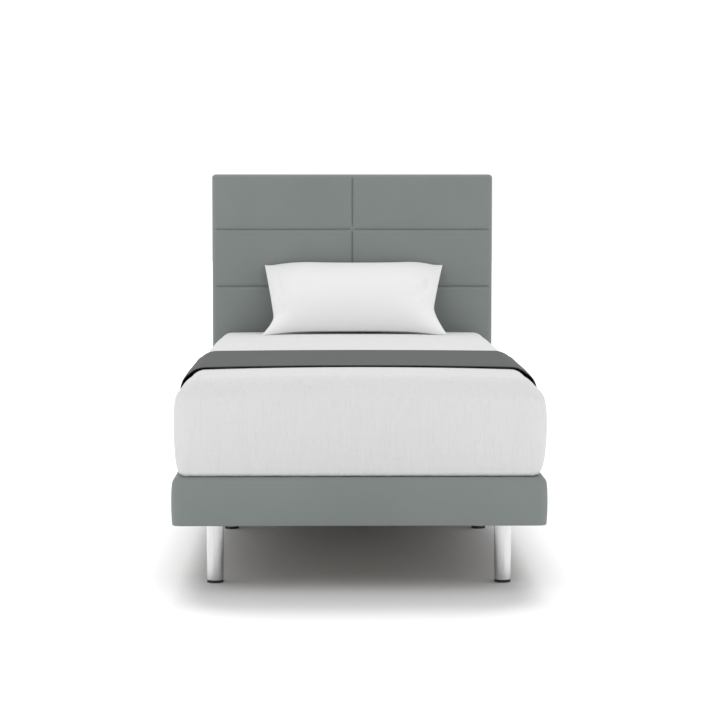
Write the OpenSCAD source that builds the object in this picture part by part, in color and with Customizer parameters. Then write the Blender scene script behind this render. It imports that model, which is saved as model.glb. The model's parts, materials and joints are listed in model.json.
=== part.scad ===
// Adjustable single bed: a padded box on six round legs, a four-part slatted deck with a
// twin-motor lift, a quilted headboard, and its mattress, bed runner and pillow.
// The foot end faces -Y, the headboard stands at +Y, and the floor is z = 0.

/* [Base box] */
// Width of the box over its padded cover
base_w = 930; // [775:1:1120]
// Length of the box over its padded cover
base_l = 2030; // [1690:1:2440]
// Height of the box
base_h = 120; // [108:1:160]
// Floor to the underside of the box
leg_h = 163; // [135:1:220]
// Thickness of the padded cover on the outside and the top edge
cover_t = 10; // [8:1:14]
// Thickness of the cover where it turns under the rails
flap_t = 3; // [2:1:4]
// Width of the strip of cover under the rails
flap_w = 20; // [15:1:24]
// Thickness of the timber rails
rail_t = 22; // [18:1:28]
// Thickness of the cover on the inner face of the rails
lining_t = 2; // [1:0.5:3]
// Radius of the four upright corners of the box
box_corner_r = 20; // [18:1:30]
// Radius along the top edge of the box
box_top_r = 16; // [8:1:18]
// Radius along the bottom edge of the box
box_bottom_r = 10; // [4:1:12]
// Side of the glued corner blocks
corner_block_w = 28; // [20:1:32]

/* [Legs] */
// Diameter of the leg tube
leg_d = 42.6; // [36:0.2:52]
// Wall of the leg tube
leg_wall = 1.5; // [1:0.5:3]
// Side of the box to a leg's centre
leg_inset_x = 100; // [80:1:120]
// End of the box to the centre of the outer legs
leg_inset_y = 148; // [120:1:180]
// Thickness of the glide that shows under a leg
glide_h = 7; // [5:1:10]
// Radius of the leg's threaded stud
stud_r = 5; // [4:0.5:6]
// Width of the steel beams that the legs screw into
beam_w = 40; // [36:1:50]

/* [Headboard] */
// Floor to the top of the headboard
headboard_top = 1054; // [950:1:1250]
// Thickness of the headboard
headboard_t = 90; // [80:1:110]
// Gap between the box and the headboard
headboard_gap = 4; // [3:0.5:8]
// Height of the top row of quilted fields
top_row_h = 183; // [160:1:200]
// Height of every other row of quilted fields
row_h = 190; // [165:1:205]
// Number of rows
row_count = 5; // [4:1:5]
// Thickness of the foam pads
pad_t = 27; // [20:1:32]
// Thickness of the board behind the pads
board_t = 8; // [6:1:10]
// Gap between pads, where the fabric is pulled in
pad_gap = 4; // [3:1:8]
// Radius of the headboard's corners, seen from the front
headboard_corner_r = 14; // [13:1:20]
// Radius along the front edge of the headboard
headboard_edge_r = 12; // [6:1:13]
// Radius of the bolts that hold the headboard
bolt_r = 4; // [3:0.5:5]
// Middle of the bed to the headboard bolts
bolt_x = 300; // [200:1:340]
// Distance between the upper and lower bolts
bolt_rise = 50; // [40:1:56]

/* [Mattress and bedding] */
// Height of the mattress
mattress_h = 250; // [200:1:300]
// Side of the box to the side of the mattress
mattress_inset_x = 5; // [3:1:15]
// Foot end of the box to the foot end of the mattress
mattress_inset_y = 15; // [10:1:20]
// Radius of the mattress's top edges
mattress_top_r = 58; // [30:1:60]
// Radius of the mattress's bottom edges
mattress_bottom_r = 25; // [15:1:40]
// Foot end of the box to the near edge of the bed runner
runner_at = 300; // [280:1:360]
// Width of the bed runner along the bed
runner_l = 650; // [540:1:655]
// How far the bed runner hangs down each side
runner_drop = 180; // [120:1:200]
// Thickness of the bed runner
runner_t = 2.5; // [1.5:0.5:3]
// Width of the pillow
pillow_w = 600; // [500:1:640]
// Length of the pillow
pillow_l = 290; // [240:1:340]
// Thickness of the pillow at its middle
pillow_t = 130; // [100:1:140]
// Slope of the pillow where it leans on the headboard, in degrees
pillow_lean = 50; // [45:1:65]

/* [Deck] */
// Length of the calf section
calf_l = 600; // [580:1:720]
// Length of the thigh section
thigh_l = 320; // [300:1:385]
// Length of the fixed seat section
seat_l = 230; // [220:1:276]
// Gap between the deck and the ends of the box
deck_gap = 40; // [36:1:48]
// Side gap between the deck and the lined rails
side_gap = 3; // [2:0.5:5]
// Width of the fixed side members
member_w = 20; // [18:1:26]
// Height of the fixed side members
member_h = 40; // [36:1:48]
// Width of the section side tubes
section_w = 18; // [15:1:20]
// Height of the section side tubes
section_h = 25; // [22:1:30]
// Wall of the steel tubes
tube_wall = 1.5; // [1:0.5:2]
// Width of the cross tubes
cross_w = 25; // [20:1:30]
// Height of the cross tubes
cross_h = 15; // [12:1:18]
// Gap that the rubber buffers fill under the sections
buffer_gap = 2; // [1.5:0.5:4]
// Width of a slat
slat_w = 52; // [45:1:60]
// Thickness of a slat
slat_t = 8; // [7:1:9]
// Rise of a slat at its middle
slat_camber = 5; // [3:1:6]
// Wanted distance between slats
slat_pitch = 76; // [70:1:90]
// Floor of a slat cap
cap_floor = 3; // [2:0.5:4]
// Length of a slat cap
cap_l = 44; // [35:1:50]

/* [Lift] */
// Radius of the hinge pins
pin_r = 5; // [4:0.5:6]
// Radial clearance of everything that turns on a pin
running_gap = 0.05; // [0.02:0.01:0.1]
// Thickness of the hinge plates
plate_t = 4; // [3:0.5:5]
// Diameter of the torque tubes
torque_d = 28; // [25:1:30]
// Wall of the torque tubes
torque_wall = 2.5; // [2:0.5:4]
// Hinge axis to torque tube axis, along the bed
torque_setback = 10; // [8:1:12]
// Hinge axis to torque tube axis, downwards
torque_drop = 15; // [13:1:16]
// Length of the back section's lift arms
back_arm_l = 280; // [235:1:336]
// Length of the leg section's lift arms
leg_arm_l = 180; // [165:1:190]
// Thickness of the lift arms
arm_t = 8; // [6:1:10]
// Height of the lift arms
arm_h = 20; // [16:1:22]
// Middle of the bed to the inner face of a lift arm
arm_x = 350; // [300:1:352]
// Diameter of the rollers
roller_d = 40; // [34:1:44]
// Width of the rollers
roller_w = 22; // [18:1:24]
// Radius of a roller's axle
axle_r = 6; // [5:0.5:8]
// Gap between a roller and its track at rest
roller_gap = 0.3; // [0.2:0.1:0.6]
// Length of the levers that the push blocks move
lever_l = 62; // [58:1:64]
// Slope of the back lever at rest, inwards from straight down, in degrees
back_lever_rest = 27; // [24:1:28]
// Slope of the leg lever at rest, inwards from straight down, in degrees
leg_lever_rest = 16; // [14:1:20]
// Gap between a lever's nose and its push block
push_gap = 0.5; // [0.4:0.1:1]
// Knee axis to the link's pin on the calf section
calf_pin_from_knee = 540; // [450:1:550]
// Drop of the link's pin below the hinge line
calf_pin_drop = 15; // [12:1:18]
// Knee axis to the link's fixed pivot
link_pivot_from_knee = 356.6; // [330:0.1:380]
// Drop of the link's fixed pivot below the hinge line
link_pivot_drop = 18.6; // [15:0.1:20]
// Play of the link's pin in the calf bracket
link_play = 2.2; // [2:0.1:3]

/* [Drive] */
// Middle of the bed to the side wall of the drive housing
drive_half_w = 140; // [135:1:160]
// Torque tube axis to the end wall of the housing
drive_end = 55; // [52:1:62]
// Wall of the housing
drive_wall = 3; // [2:0.5:4]
// Middle of the bed to a spindle's axis
spindle_x = 30; // [28:1:34]
// Radius of a spindle
spindle_r = 7; // [6:0.5:7]
// Radius of a motor
motor_r = 22; // [18:1:24]

/* [Hidden] */
$fn = 48;
eps = 1; // overshoot of a cutting shape past the face that it opens
weld_gap = 0.05; // hairline at a welded or glued joint, so that each bar stays its own solid

// Heights, from the floor up
rail_z0 = leg_h + flap_t;
box_z1 = leg_h + base_h;
rail_z1 = box_z1 - cover_t;
section_z1 = box_z1 - slat_camber - slat_t - cap_floor;
section_z0 = section_z1 - section_h;
member_z1 = section_z0 - buffer_gap;
member_z0 = member_z1 - member_h;
hinge_z = section_z0 + section_h / 2;
cross_z0 = section_z1 - cross_h;
mattress_rest_gap = 0.3;
mattress_z0 = box_z1 + mattress_rest_gap;
mattress_z1 = mattress_z0 + mattress_h;

// Distances from the middle of the bed, from the outside in
half_w = base_w / 2;
rail_x1 = half_w - cover_t;
rail_x0 = rail_x1 - rail_t;
lining_x = rail_x0 - lining_t;
member_x1 = lining_x - side_gap;
member_x0 = member_x1 - member_w;
section_x0 = member_x1 - section_w;
plate_x0 = member_x0 - plate_t;
leg_x = half_w - leg_inset_x;
mattress_w = base_w - 2 * mattress_inset_x;

// Distances from the foot end of the box along the bed
total_l = base_l + headboard_gap + headboard_t;
knee_at = deck_gap + calf_l;
hip_at = knee_at + thigh_l;
recline_at = hip_at + seat_l;
deck_end_at = base_l - deck_gap;
back_l = deck_end_at - recline_at;
mattress_l = base_l - 2 * mattress_inset_y;
rail_end_at = base_l - cover_t;
headboard_at = base_l + headboard_gap;
middle_leg_shift = 37; // middle legs' distance from the seat's middle, towards the head
leg_spots = [leg_inset_y, (recline_at + hip_at) / 2 + middle_leg_shift, base_l - leg_inset_y];

// Y of a point that lies d from the foot end of the box
function at(d) = d - total_l / 2;
// Limits w to either side of d
function around(d, w) = [d - w, d + w];
function y_around(d, w) = [at(d) - w, at(d) + w];
function y_span(from, to) = [at(from), at(to)];

// ---------- shared shapes ----------

// Box between a pair of limits on each axis
module block(x, y, z) {
    translate([x[0], y[0], z[0]])
        cube([x[1] - x[0], y[1] - y[0], z[1] - z[0]]);
}

// Square tube along X, open at both ends
module tube_x(x, y, z, wall = tube_wall) {
    difference() {
        block(x, y, z);
        block([x[0] - eps, x[1] + eps], [y[0] + wall, y[1] - wall], [z[0] + wall, z[1] - wall]);
    }
}

// Square tube along Y, open at both ends
module tube_y(x, y, z, wall = tube_wall) {
    difference() {
        block(x, y, z);
        block([x[0] + wall, x[1] - wall], [y[0] - eps, y[1] + eps], [z[0] + wall, z[1] - wall]);
    }
}

module rod_x(x, y, z, r) {
    translate([x[0], y, z])
        rotate([0, 90, 0])
            cylinder(r = r, h = x[1] - x[0]);
}

module rod_y(x, y, z, r) {
    translate([x, y[1], z])
        rotate([90, 0, 0])
            cylinder(r = r, h = y[1] - y[0]);
}

module rod_z(x, y, z, r) {
    translate([x, y, z[0]])
        cylinder(r = r, h = z[1] - z[0]);
}

module both_sides() {
    children();
    mirror([1, 0, 0])
        children();
}

// Upright section of a padded edge, from its root at x = 0 out to the given reach
module edge_section(reach, h, top_r, bottom_r) {
    difference() {
        square([reach, h]);
        translate([reach - top_r, h - top_r])
            difference() {
                square(top_r + eps);
                circle(r = top_r);
            }
        translate([reach - bottom_r, bottom_r])
            difference() {
                translate([0, -bottom_r - eps])
                    square([bottom_r + eps, bottom_r + eps]);
                circle(r = bottom_r);
            }
    }
}

module full_section(w, h, top_r, bottom_r) {
    edge_section(w / 2, h, top_r, bottom_r);
    mirror([1, 0])
        edge_section(w / 2, h, top_r, bottom_r);
}

// Padded block with all edges rounded: centred on X and Y, standing on z = 0
module padded_block(w, l, h, corner_r, top_r, bottom_r) {
    rotate([90, 0, 0])
        linear_extrude(l - 2 * corner_r, center = true)
            full_section(w, h, top_r, bottom_r);
    rotate([90, 0, 90])
        linear_extrude(w - 2 * corner_r, center = true)
            full_section(l, h, top_r, bottom_r);
    for (turn = [0 : 3]) {
        side_x = (turn == 0 || turn == 3) ? 1 : -1;
        side_y = turn < 2 ? 1 : -1;
        translate([side_x * (w / 2 - corner_r), side_y * (l / 2 - corner_r), 0])
            rotate([0, 0, 90 * turn])
                rotate_extrude(angle = 90)
                    edge_section(corner_r, h, top_r, bottom_r);
    }
}

// ---------- box ----------

module side_rail() {
    block([rail_x0, rail_x1], y_span(cover_t, rail_end_at), [rail_z0, rail_z1]);
}

module side_rail_left() {
    color("burlywood")
        mirror([1, 0, 0])
            side_rail();
}

module side_rail_right() {
    color("burlywood")
        side_rail();
}

module end_rail(from) {
    block([-rail_x0, rail_x0], y_span(from, from + rail_t), [rail_z0, rail_z1]);
}

module foot_rail() {
    color("burlywood")
        end_rail(cover_t);
}

module head_rail() {
    color("burlywood")
        difference() {
            end_rail(rail_end_at - rail_t);
            bolt_holes(bolt_r + bolt_gap);
        }
}

module corner_blocks() {
    inner = cover_t + rail_t;
    color("tan")
        for (from = [inner, base_l - inner - corner_block_w])
            both_sides()
                block([rail_x0 - corner_block_w, rail_x0], y_span(from, from + corner_block_w),
                    [rail_z0, member_z0]);
}

// One padded cover: over the outside and the top of the rails, a lining a little way down
// their inner face, and a strip turned under them
module box_cover() {
    lining_h = rail_z1 - member_z1;
    color([0.50, 0.53, 0.52])
        difference() {
            translate([0, at(base_l / 2), leg_h])
                padded_block(base_w, base_l, base_h, box_corner_r, box_top_r, box_bottom_r);
            block([-rail_x1, rail_x1], y_span(cover_t, rail_end_at), [rail_z0, rail_z1 - lining_h]);
            difference() {
                block([-rail_x1, rail_x1], y_span(cover_t, rail_end_at), [rail_z0, rail_z1]);
                block([-rail_x0, rail_x0], y_span(cover_t + rail_t, rail_end_at - rail_t),
                    [rail_z0 - eps, rail_z1 + eps]);
            }
            block([-lining_x, lining_x],
                y_span(cover_t + rail_t + lining_t, rail_end_at - rail_t - lining_t),
                [rail_z0, box_z1 + eps]);
            block([-half_w + flap_w, half_w - flap_w], y_span(flap_w, base_l - flap_w),
                [leg_h - eps, rail_z0 + eps]);
            bolt_holes(bolt_r + bolt_gap);
            bolt_head_holes();
        }
}

// ---------- legs ----------

leg_r = leg_d / 2;
leg_plug_h = 10;
glide_plug_h = 18;
glide_plug_gap = 0.1;
glide_step = 0.7;
stud_below = 12;
stud_above = 3;
beam_wall = 2;
bracket_l = leg_inset_x + 3;

module leg_pair(spot) {
    both_sides()
        difference() {
            rod_z(leg_x, at(spot), [glide_h, rail_z0], leg_r);
            rod_z(leg_x, at(spot), [glide_h - eps, rail_z0 - leg_plug_h], leg_r - leg_wall);
            rod_z(leg_x, at(spot), [glide_h, rail_z0 + eps], stud_r);
        }
}

module foot_legs() {
    color("silver")
        leg_pair(leg_spots[0]);
}

module middle_legs() {
    color("silver")
        leg_pair(leg_spots[1]);
}

module head_legs() {
    color("silver")
        leg_pair(leg_spots[2]);
}

module leg_glides() {
    color([0.08, 0.08, 0.08])
        for (spot = leg_spots)
            both_sides() {
                rod_z(leg_x, at(spot), [0, glide_h], leg_r - glide_step);
                rod_z(leg_x, at(spot), [glide_h, glide_h + glide_plug_h],
                    leg_r - leg_wall - glide_plug_gap);
            }
}

module leg_studs() {
    color("gray")
        for (spot = leg_spots)
            both_sides()
                rod_z(leg_x, at(spot), [rail_z0 - stud_below, member_z0 + stud_above], stud_r);
}

// Steel beams across the box under the outer legs' ends, and a short bracket at each middle leg
module leg_beams() {
    color([0.25, 0.25, 0.27])
        difference() {
            union() {
                for (spot = [leg_spots[0], leg_spots[2]])
                    tube_x([-rail_x0, rail_x0], y_around(spot, beam_w / 2), [rail_z0, member_z0],
                        beam_wall);
                both_sides()
                    tube_x([rail_x0 - bracket_l, rail_x0], y_around(leg_spots[1], beam_w / 2),
                        [rail_z0, member_z0], beam_wall);
            }
            for (spot = leg_spots)
                both_sides()
                    rod_z(leg_x, at(spot), [rail_z0 - eps, member_z0 + eps], stud_r);
        }
}

// ---------- fixed frame ----------

frame_cross_h = 30;
frame_rise = 5; // underside of the side members to that of the cross tubes and plates
plate_top_above = 7.5;
link_plate_rise = 9;
plate_half_l = 30;
plate_top = hinge_z + plate_top_above;
link_plate_half_l = 20;
link_pivot_at = knee_at - link_pivot_from_knee;
link_pivot_z = hinge_z - link_pivot_drop;
calf_pin_at = knee_at - calf_pin_from_knee;
calf_pin_z = hinge_z - calf_pin_drop;
pin_overhang = 1;
collar_r = 8;
collar_gap = 0.3;
link_gap = 2;
link_t = 6;
link_x0 = plate_x0 - link_gap - link_t;

module frame_side_members() {
    color([0.25, 0.25, 0.27])
        both_sides()
            tube_y([member_x0, member_x1], y_span(deck_gap, deck_end_at), [member_z0, member_z1]);
}

module frame_cross_tubes() {
    inset = 15;
    color([0.25, 0.25, 0.27])
        for (from = [deck_gap, deck_end_at - inset - cross_w])
            tube_x([-member_x0, member_x0], y_span(from, from + cross_w),
                [member_z0 + frame_rise, member_z0 + frame_rise + frame_cross_h]);
}

// Steel plates on the side members: they hold the hip and recline pins and the link pivots
module hinge_brackets() {
    color([0.32, 0.32, 0.34])
        both_sides() {
            for (axis = [hip_at, recline_at])
                difference() {
                    block([plate_x0, member_x0], y_around(axis, plate_half_l),
                        [member_z0 + frame_rise, plate_top]);
                    rod_x([plate_x0 - eps, member_x0 + eps], at(axis), hinge_z, pin_r);
                }
            difference() {
                block([plate_x0, member_x0], y_around(link_pivot_at, link_plate_half_l),
                    [member_z0 + frame_rise, member_z1 + link_plate_rise]);
                rod_x([plate_x0 - eps, member_x0 + eps], at(link_pivot_at), link_pivot_z, pin_r);
            }
        }
}

module hinge_pins() {
    color("silver")
        both_sides() {
            for (axis = [hip_at, recline_at]) {
                rod_x([plate_x0, member_x1 + pin_overhang], at(axis), hinge_z, pin_r);
                rod_x([member_x0, section_x0 - collar_gap], at(axis), hinge_z, collar_r);
            }
            rod_x([link_x0 - pin_overhang, member_x0], at(link_pivot_at), link_pivot_z, pin_r);
        }
}

// Buffers on the side members, under the ends of each moving section
module rubber_buffers() {
    buffer_l = 30;
    rest_gap = 0.3;
    side_inset = 2;
    foot_inset = 30;
    knee_inset = 60;
    recline_inset = 80;
    head_inset = 40;
    spots = [deck_gap + foot_inset, knee_at - knee_inset, knee_at + knee_inset,
        recline_at + recline_inset, deck_end_at - head_inset];
    color([0.1, 0.1, 0.1])
        both_sides()
            for (spot = spots)
                block([section_x0 + side_inset, member_x1 - side_inset],
                    y_around(spot, buffer_l / 2), [member_z1, section_z0 - rest_gap]);
}

// ---------- deck sections ----------

eye_side_gap = 0.5;
eye_reach = 15;
slat_edge = 22;
slat_knee_edge = 12;
slat_end_edge = 10;
cap_overhang = 1;
cap_wall = 3;
cap_lid = 2;
slat_end_gap = 1;
slat_top_gap = 1.3;
slat_steps = 12;
slat_gap = 0.3;
cap_x1 = member_x1 + cap_overhang;
slat_half_l = cap_x1 - cap_wall - slat_end_gap;
slat_z0 = section_z1 + cap_floor;
pocket_top = slat_z0 + slat_t + slat_top_gap;

seat_row = [hip_at + slat_edge, recline_at - slat_edge];
back_row = [recline_at + slat_edge, deck_end_at - slat_end_edge];
thigh_row = [knee_at + slat_knee_edge, hip_at - slat_edge];
calf_row = [deck_gap + slat_end_edge, knee_at - slat_knee_edge];

function slat_count(row) = 1 + round((row[1] - row[0] - slat_w) / slat_pitch);
function slat_spots(row) = [for (i = [0 : slat_count(row) - 1])
    row[0] + slat_w / 2 + i * (row[1] - row[0] - slat_w) / (slat_count(row) - 1)];
function slat_rise(x) = slat_camber * (1 - pow(x / slat_half_l, 2));
function slat_xs() = [for (i = [-slat_steps : slat_steps]) slat_half_l * i / slat_steps];

// Springy beech slats, each bent up a little at its middle
module slats(row) {
    under = [for (x = slat_xs()) [x, slat_rise(x)]];
    over = [for (i = [len(under) - 1 : -1 : 0]) under[i] + [0, slat_t]];
    color("wheat")
        for (spot = slat_spots(row))
            translate([0, at(spot) + slat_w / 2, slat_z0])
                rotate([90, 0, 0])
                    linear_extrude(slat_w)
                        polygon(concat(under, over));
}

// Caps that hold the slat ends on the side tubes
module slat_caps(row) {
    half = slat_w / 2 + slat_gap;
    color([0.1, 0.1, 0.1])
        both_sides()
            for (spot = slat_spots(row))
                difference() {
                    block([cap_x1 - cap_l, cap_x1], y_around(spot, half + cap_wall),
                        [section_z1, pocket_top + cap_lid]);
                    block([cap_x1 - cap_l - eps, cap_x1 - cap_wall], y_around(spot, half),
                        [slat_z0, pocket_top]);
                }
}

// Side tube with a round eye at a hinge axis; dir is +1 when the tube runs towards the head
module eyed_tube(axis, dir, length) {
    y = at(axis);
    far = y + dir * length;
    near = y + dir * eye_reach;
    difference() {
        union() {
            tube_y([section_x0, member_x1], [min(near, far), max(near, far)],
                [section_z0, section_z1]);
            block([section_x0 + eye_side_gap, member_x1], [min(y, near), max(y, near)],
                [section_z0, section_z1]);
            rod_x([section_x0 + eye_side_gap, member_x1], y, hinge_z, section_h / 2);
        }
        rod_x([section_x0 - eps, member_x1 + eps], y, hinge_z, pin_r + running_gap);
    }
}

module cross_tube(from) {
    tube_x(around(0, section_x0 - weld_gap), y_span(from, from + cross_w), [cross_z0, section_z1]);
}

roller_side_gap = 3; // lift arm to roller
track_x0 = arm_x + arm_t + roller_side_gap;
track_x = [track_x0, track_x0 + roller_w];
track_reach_in = 70;
track_reach_out = 20;

// Steel bar under two cross tubes, on which a roller runs
module roller_tracks(from, to) {
    both_sides()
        block(track_x, y_span(from, to), [section_z0, cross_z0 - weld_gap]);
}

module seat_frame() {
    inset = 60;
    color([0.25, 0.25, 0.27]) {
        both_sides()
            tube_y([section_x0, member_x1], y_span(hip_at + eye_reach, recline_at - eye_reach),
                [member_z1, section_z1]);
        cross_tube(hip_at + inset);
        cross_tube(recline_at - inset - cross_w);
    }
}

module seat_slats() slats(seat_row);
module seat_slat_caps() slat_caps(seat_row);

back_roller_at = recline_at - torque_setback + back_arm_l;
thigh_roller_at = hip_at + torque_setback - leg_arm_l;

module back_frame() {
    inner = back_roller_at - track_reach_in;
    outer = back_roller_at + track_reach_out;
    last = deck_end_at - cross_w;
    color([0.25, 0.25, 0.27]) {
        both_sides()
            eyed_tube(recline_at, 1, back_l);
        for (from = [inner, outer, (outer + last) / 2, last])
            cross_tube(from);
        roller_tracks(inner, outer + cross_w);
    }
}

module back_slats() slats(back_row);
module back_slat_caps() slat_caps(back_row);

knee_plate_t = 5;
knee_plate_x1 = section_x0 - eye_side_gap;
knee_plate_l = 60;
knee_cross_inset = 20;

module thigh_frame() {
    inner = thigh_roller_at + track_reach_in;
    outer = thigh_roller_at - track_reach_out;
    knee_cross = knee_at + knee_cross_inset;
    plate_x = [knee_plate_x1 - knee_plate_t, knee_plate_x1];
    color([0.25, 0.25, 0.27]) {
        both_sides() {
            eyed_tube(hip_at, -1, thigh_l - eye_reach);
            difference() {
                union() {
                    block(plate_x, y_span(knee_at, knee_at + knee_plate_l),
                        [section_z0, section_z1]);
                    rod_x(plate_x, at(knee_at), hinge_z, section_h / 2);
                    block([knee_plate_x1, section_x0],
                        y_span(knee_at + eye_reach, knee_at + knee_plate_l),
                        [section_z0, section_z1]);
                }
                rod_x([plate_x[0] - eps, plate_x[1] + eps], at(knee_at), hinge_z, pin_r);
            }
        }
        for (from = [inner - cross_w, outer - cross_w])
            cross_tube(from);
        tube_x(around(0, plate_x[0] - weld_gap), y_span(knee_cross, knee_cross + cross_w),
            [cross_z0, section_z1]);
        roller_tracks(outer - cross_w, inner);
    }
}

module thigh_slats() slats(thigh_row);
module thigh_slat_caps() slat_caps(thigh_row);

module knee_pins() {
    color("silver")
        both_sides()
            rod_x([knee_plate_x1 - knee_plate_t, member_x1 + pin_overhang], at(knee_at), hinge_z,
                pin_r);
}

link_bracket_gap = 4;
link_bracket_t = 4;
link_bracket_half_l = 15;
link_bracket_below = 12.5;
link_bracket_x1 = link_x0 - link_bracket_gap;

module calf_frame() {
    bracket_x = [link_bracket_x1 - link_bracket_t, link_bracket_x1];
    link_cross = calf_pin_at - cross_w / 2;
    knee_clearance = 60;
    last_cross = knee_at - knee_clearance;
    color([0.25, 0.25, 0.27]) {
        both_sides() {
            eyed_tube(knee_at, -1, calf_l);
            difference() {
                block(bracket_x, y_around(calf_pin_at, link_bracket_half_l),
                    [calf_pin_z - link_bracket_below, cross_z0 - weld_gap]);
                rod_x([bracket_x[0] - eps, bracket_x[1] + eps], at(calf_pin_at), calf_pin_z,
                    pin_r + link_play);
            }
        }
        for (from = [link_cross, (link_cross + last_cross) / 2, last_cross])
            cross_tube(from);
    }
}

module calf_slats() slats(calf_row);
module calf_slat_caps() slat_caps(calf_row);

// Flat link between the fixed pivot and the calf bracket; its outer pin is riveted in
module calf_link_arms() {
    rise = calf_pin_z - link_pivot_z;
    run = link_pivot_at - calf_pin_at;
    length = sqrt(rise * rise + run * run);
    end_r = 11;
    bar_half_w = 9;
    pin_head = 3;
    link_x = [link_x0, link_x0 + link_t];
    color([0.32, 0.32, 0.34])
        both_sides() {
            difference() {
                union() {
                    translate([0, at(link_pivot_at), link_pivot_z])
                        rotate([-atan2(rise, run), 0, 0])
                            block(link_x, [-length, 0], around(0, bar_half_w));
                    rod_x(link_x, at(link_pivot_at), link_pivot_z, end_r);
                    rod_x(link_x, at(calf_pin_at), calf_pin_z, end_r);
                }
                rod_x([link_x[0] - eps, link_x[1] + eps], at(link_pivot_at), link_pivot_z,
                    pin_r + running_gap);
            }
            rod_x([link_bracket_x1 - link_bracket_t - pin_head, link_x0], at(calf_pin_at), calf_pin_z,
                pin_r);
        }
}

// ---------- torque tubes, rollers and levers ----------

torque_r = torque_d / 2;
torque_z = hinge_z - torque_drop;
back_torque_at = recline_at - torque_setback;
leg_torque_at = hip_at + torque_setback;
bearing_t = 14;
bearing_wall = 6;
bearing_top_wall = 4;
torque_end_gap = 0.5;
torque_end = plate_x0 - torque_end_gap;
hub_wall = 4;
arm_eye_extra = 2;
axle_overhang = 2;
lever_spindle_gap = 1;
roller_r = roller_d / 2;
roller_fall = section_h / 2 + roller_gap + roller_r - torque_drop;
lever_plate_t = 6;
lever_half_w = 6.5;
nose_r = 8;

// Nylon blocks on the hinge plates, in which the torque tubes turn
module torque_bearings() {
    color([0.85, 0.85, 0.82])
        both_sides()
            for (axis = [back_torque_at, leg_torque_at])
                difference() {
                    block([plate_x0 - bearing_t, plate_x0],
                        y_around(axis, torque_r + bearing_wall),
                        [torque_z - torque_r - bearing_wall,
                            torque_z + torque_r + bearing_top_wall]);
                    rod_x([plate_x0 - bearing_t - eps, plate_x0 + eps], at(axis), torque_z,
                        torque_r + running_gap);
                }
}

// Tube with its lift arms, roller axles and lever fork, drawn about its own axis.
// The arms run towards +Y and the lever hangs down.
module torque_tube(arm_l, lever_rest, lever_x) {
    color([0.32, 0.32, 0.34]) {
        difference() {
            rod_x([-torque_end, torque_end], 0, 0, torque_r);
            rod_x([-torque_end - eps, torque_end + eps], 0, 0, torque_r - torque_wall);
        }
        difference() {
            union() {
                both_sides()
                    lift_arm(arm_l);
                for (side = [-1, 1])
                    lever_plate(lever_x + side * (spindle_r + lever_spindle_gap), side,
                        lever_rest);
            }
            rod_x([-torque_end, torque_end], 0, 0, torque_r + weld_gap);
        }
    }
}

module lift_arm(arm_l) {
    arm = [arm_x, arm_x + arm_t];
    rotate([-asin(roller_fall / arm_l), 0, 0]) {
        block(arm, [0, arm_l], around(0, arm_h / 2));
        rod_x(arm, 0, 0, torque_r + hub_wall);
        rod_x(arm, arm_l, 0, arm_h / 2 + arm_eye_extra);
        rod_x([arm[1], track_x[1] + axle_overhang], arm_l, 0, axle_r);
    }
}

// One plate of a lever fork; its nose is the pad that a push block meets
module lever_plate(x, side, lever_rest) {
    plate = side > 0 ? [x, x + lever_plate_t] : [x - lever_plate_t, x];
    rotate([-lever_rest, 0, 0]) {
        block(plate, around(0, lever_half_w), [-lever_l, 0]);
        rod_x(plate, 0, 0, torque_r + hub_wall);
        rod_x(plate, 0, -lever_l, nose_r);
    }
}

module back_torque_tube() {
    translate([0, at(back_torque_at), torque_z])
        torque_tube(back_arm_l, back_lever_rest, spindle_x);
}

module leg_torque_tube() {
    translate([0, at(leg_torque_at), torque_z])
        mirror([0, 1, 0])
            torque_tube(leg_arm_l, leg_lever_rest, -spindle_x);
}

module rollers(y, z) {
    color([0.9, 0.9, 0.87])
        both_sides()
            difference() {
                rod_x([track_x[0], track_x[1]], y, z, roller_r);
                rod_x([track_x[0] - eps, track_x[1] + eps], y, z, axle_r + running_gap);
            }
}

module back_rollers() {
    rollers(at(back_torque_at) + sqrt(pow(back_arm_l, 2) - pow(roller_fall, 2)),
        torque_z - roller_fall);
}

module leg_rollers() {
    rollers(at(leg_torque_at) - sqrt(pow(leg_arm_l, 2) - pow(roller_fall, 2)),
        torque_z - roller_fall);
}

// ---------- drive ----------

drive_top_drop = 34.5; // torque tube axis to the top of the housing
drive_cover_h = 27;
drive_tray_h = 50;
drive_z1 = torque_z - drive_top_drop;
drive_split_z = drive_z1 - drive_cover_h;
drive_z0 = drive_split_z - drive_tray_h;
drive_floor_z = drive_z0 + drive_wall;
drive_y = [at(leg_torque_at) - drive_end, at(back_torque_at) + drive_end];
spindle_drop = 72; // torque tube axis to the spindles' axes
spindle_z = torque_z - spindle_drop;
slide_gap = 0.3;
block_half_w = 17;
block_l = 30;
block_below = 15.5;
back_block_above = 18.5;
leg_block_above = 15;
block_z0 = spindle_z - block_below;
spindle_stop_l = 10;
gearbox_l = 30;
gearbox_half_w = 20;
gearbox_half_h = 22.5;
gearbox_z = around(spindle_z, gearbox_half_h);
back_gearbox_from = 112; // back torque tube to the foot-end face of its gearbox
leg_gearbox_from = 72; // leg torque tube to the foot-end face of its gearbox
back_gearbox_y = at(back_torque_at) - back_gearbox_from;
leg_gearbox_y = at(leg_torque_at) + leg_gearbox_from;
motor_l = 85;
saddle_x = [60, 80];
saddle_side = 8;
saddle_half_l = torque_r + saddle_side;
saddle_cap_wall = 4;
board_x = [-130, -60];
board_l = 100;
board_past_tube = 20;
board_rise = 10;
board_y = [at(back_torque_at) + board_past_tube - board_l, at(back_torque_at) + board_past_tube];
board_z = drive_floor_z + board_rise;
inlet_inset = 15; // back torque tube to the middle of the mains inlet
inlet_half_w = 13;
inlet_rise = 22;
inlet_h = 20;
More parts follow.
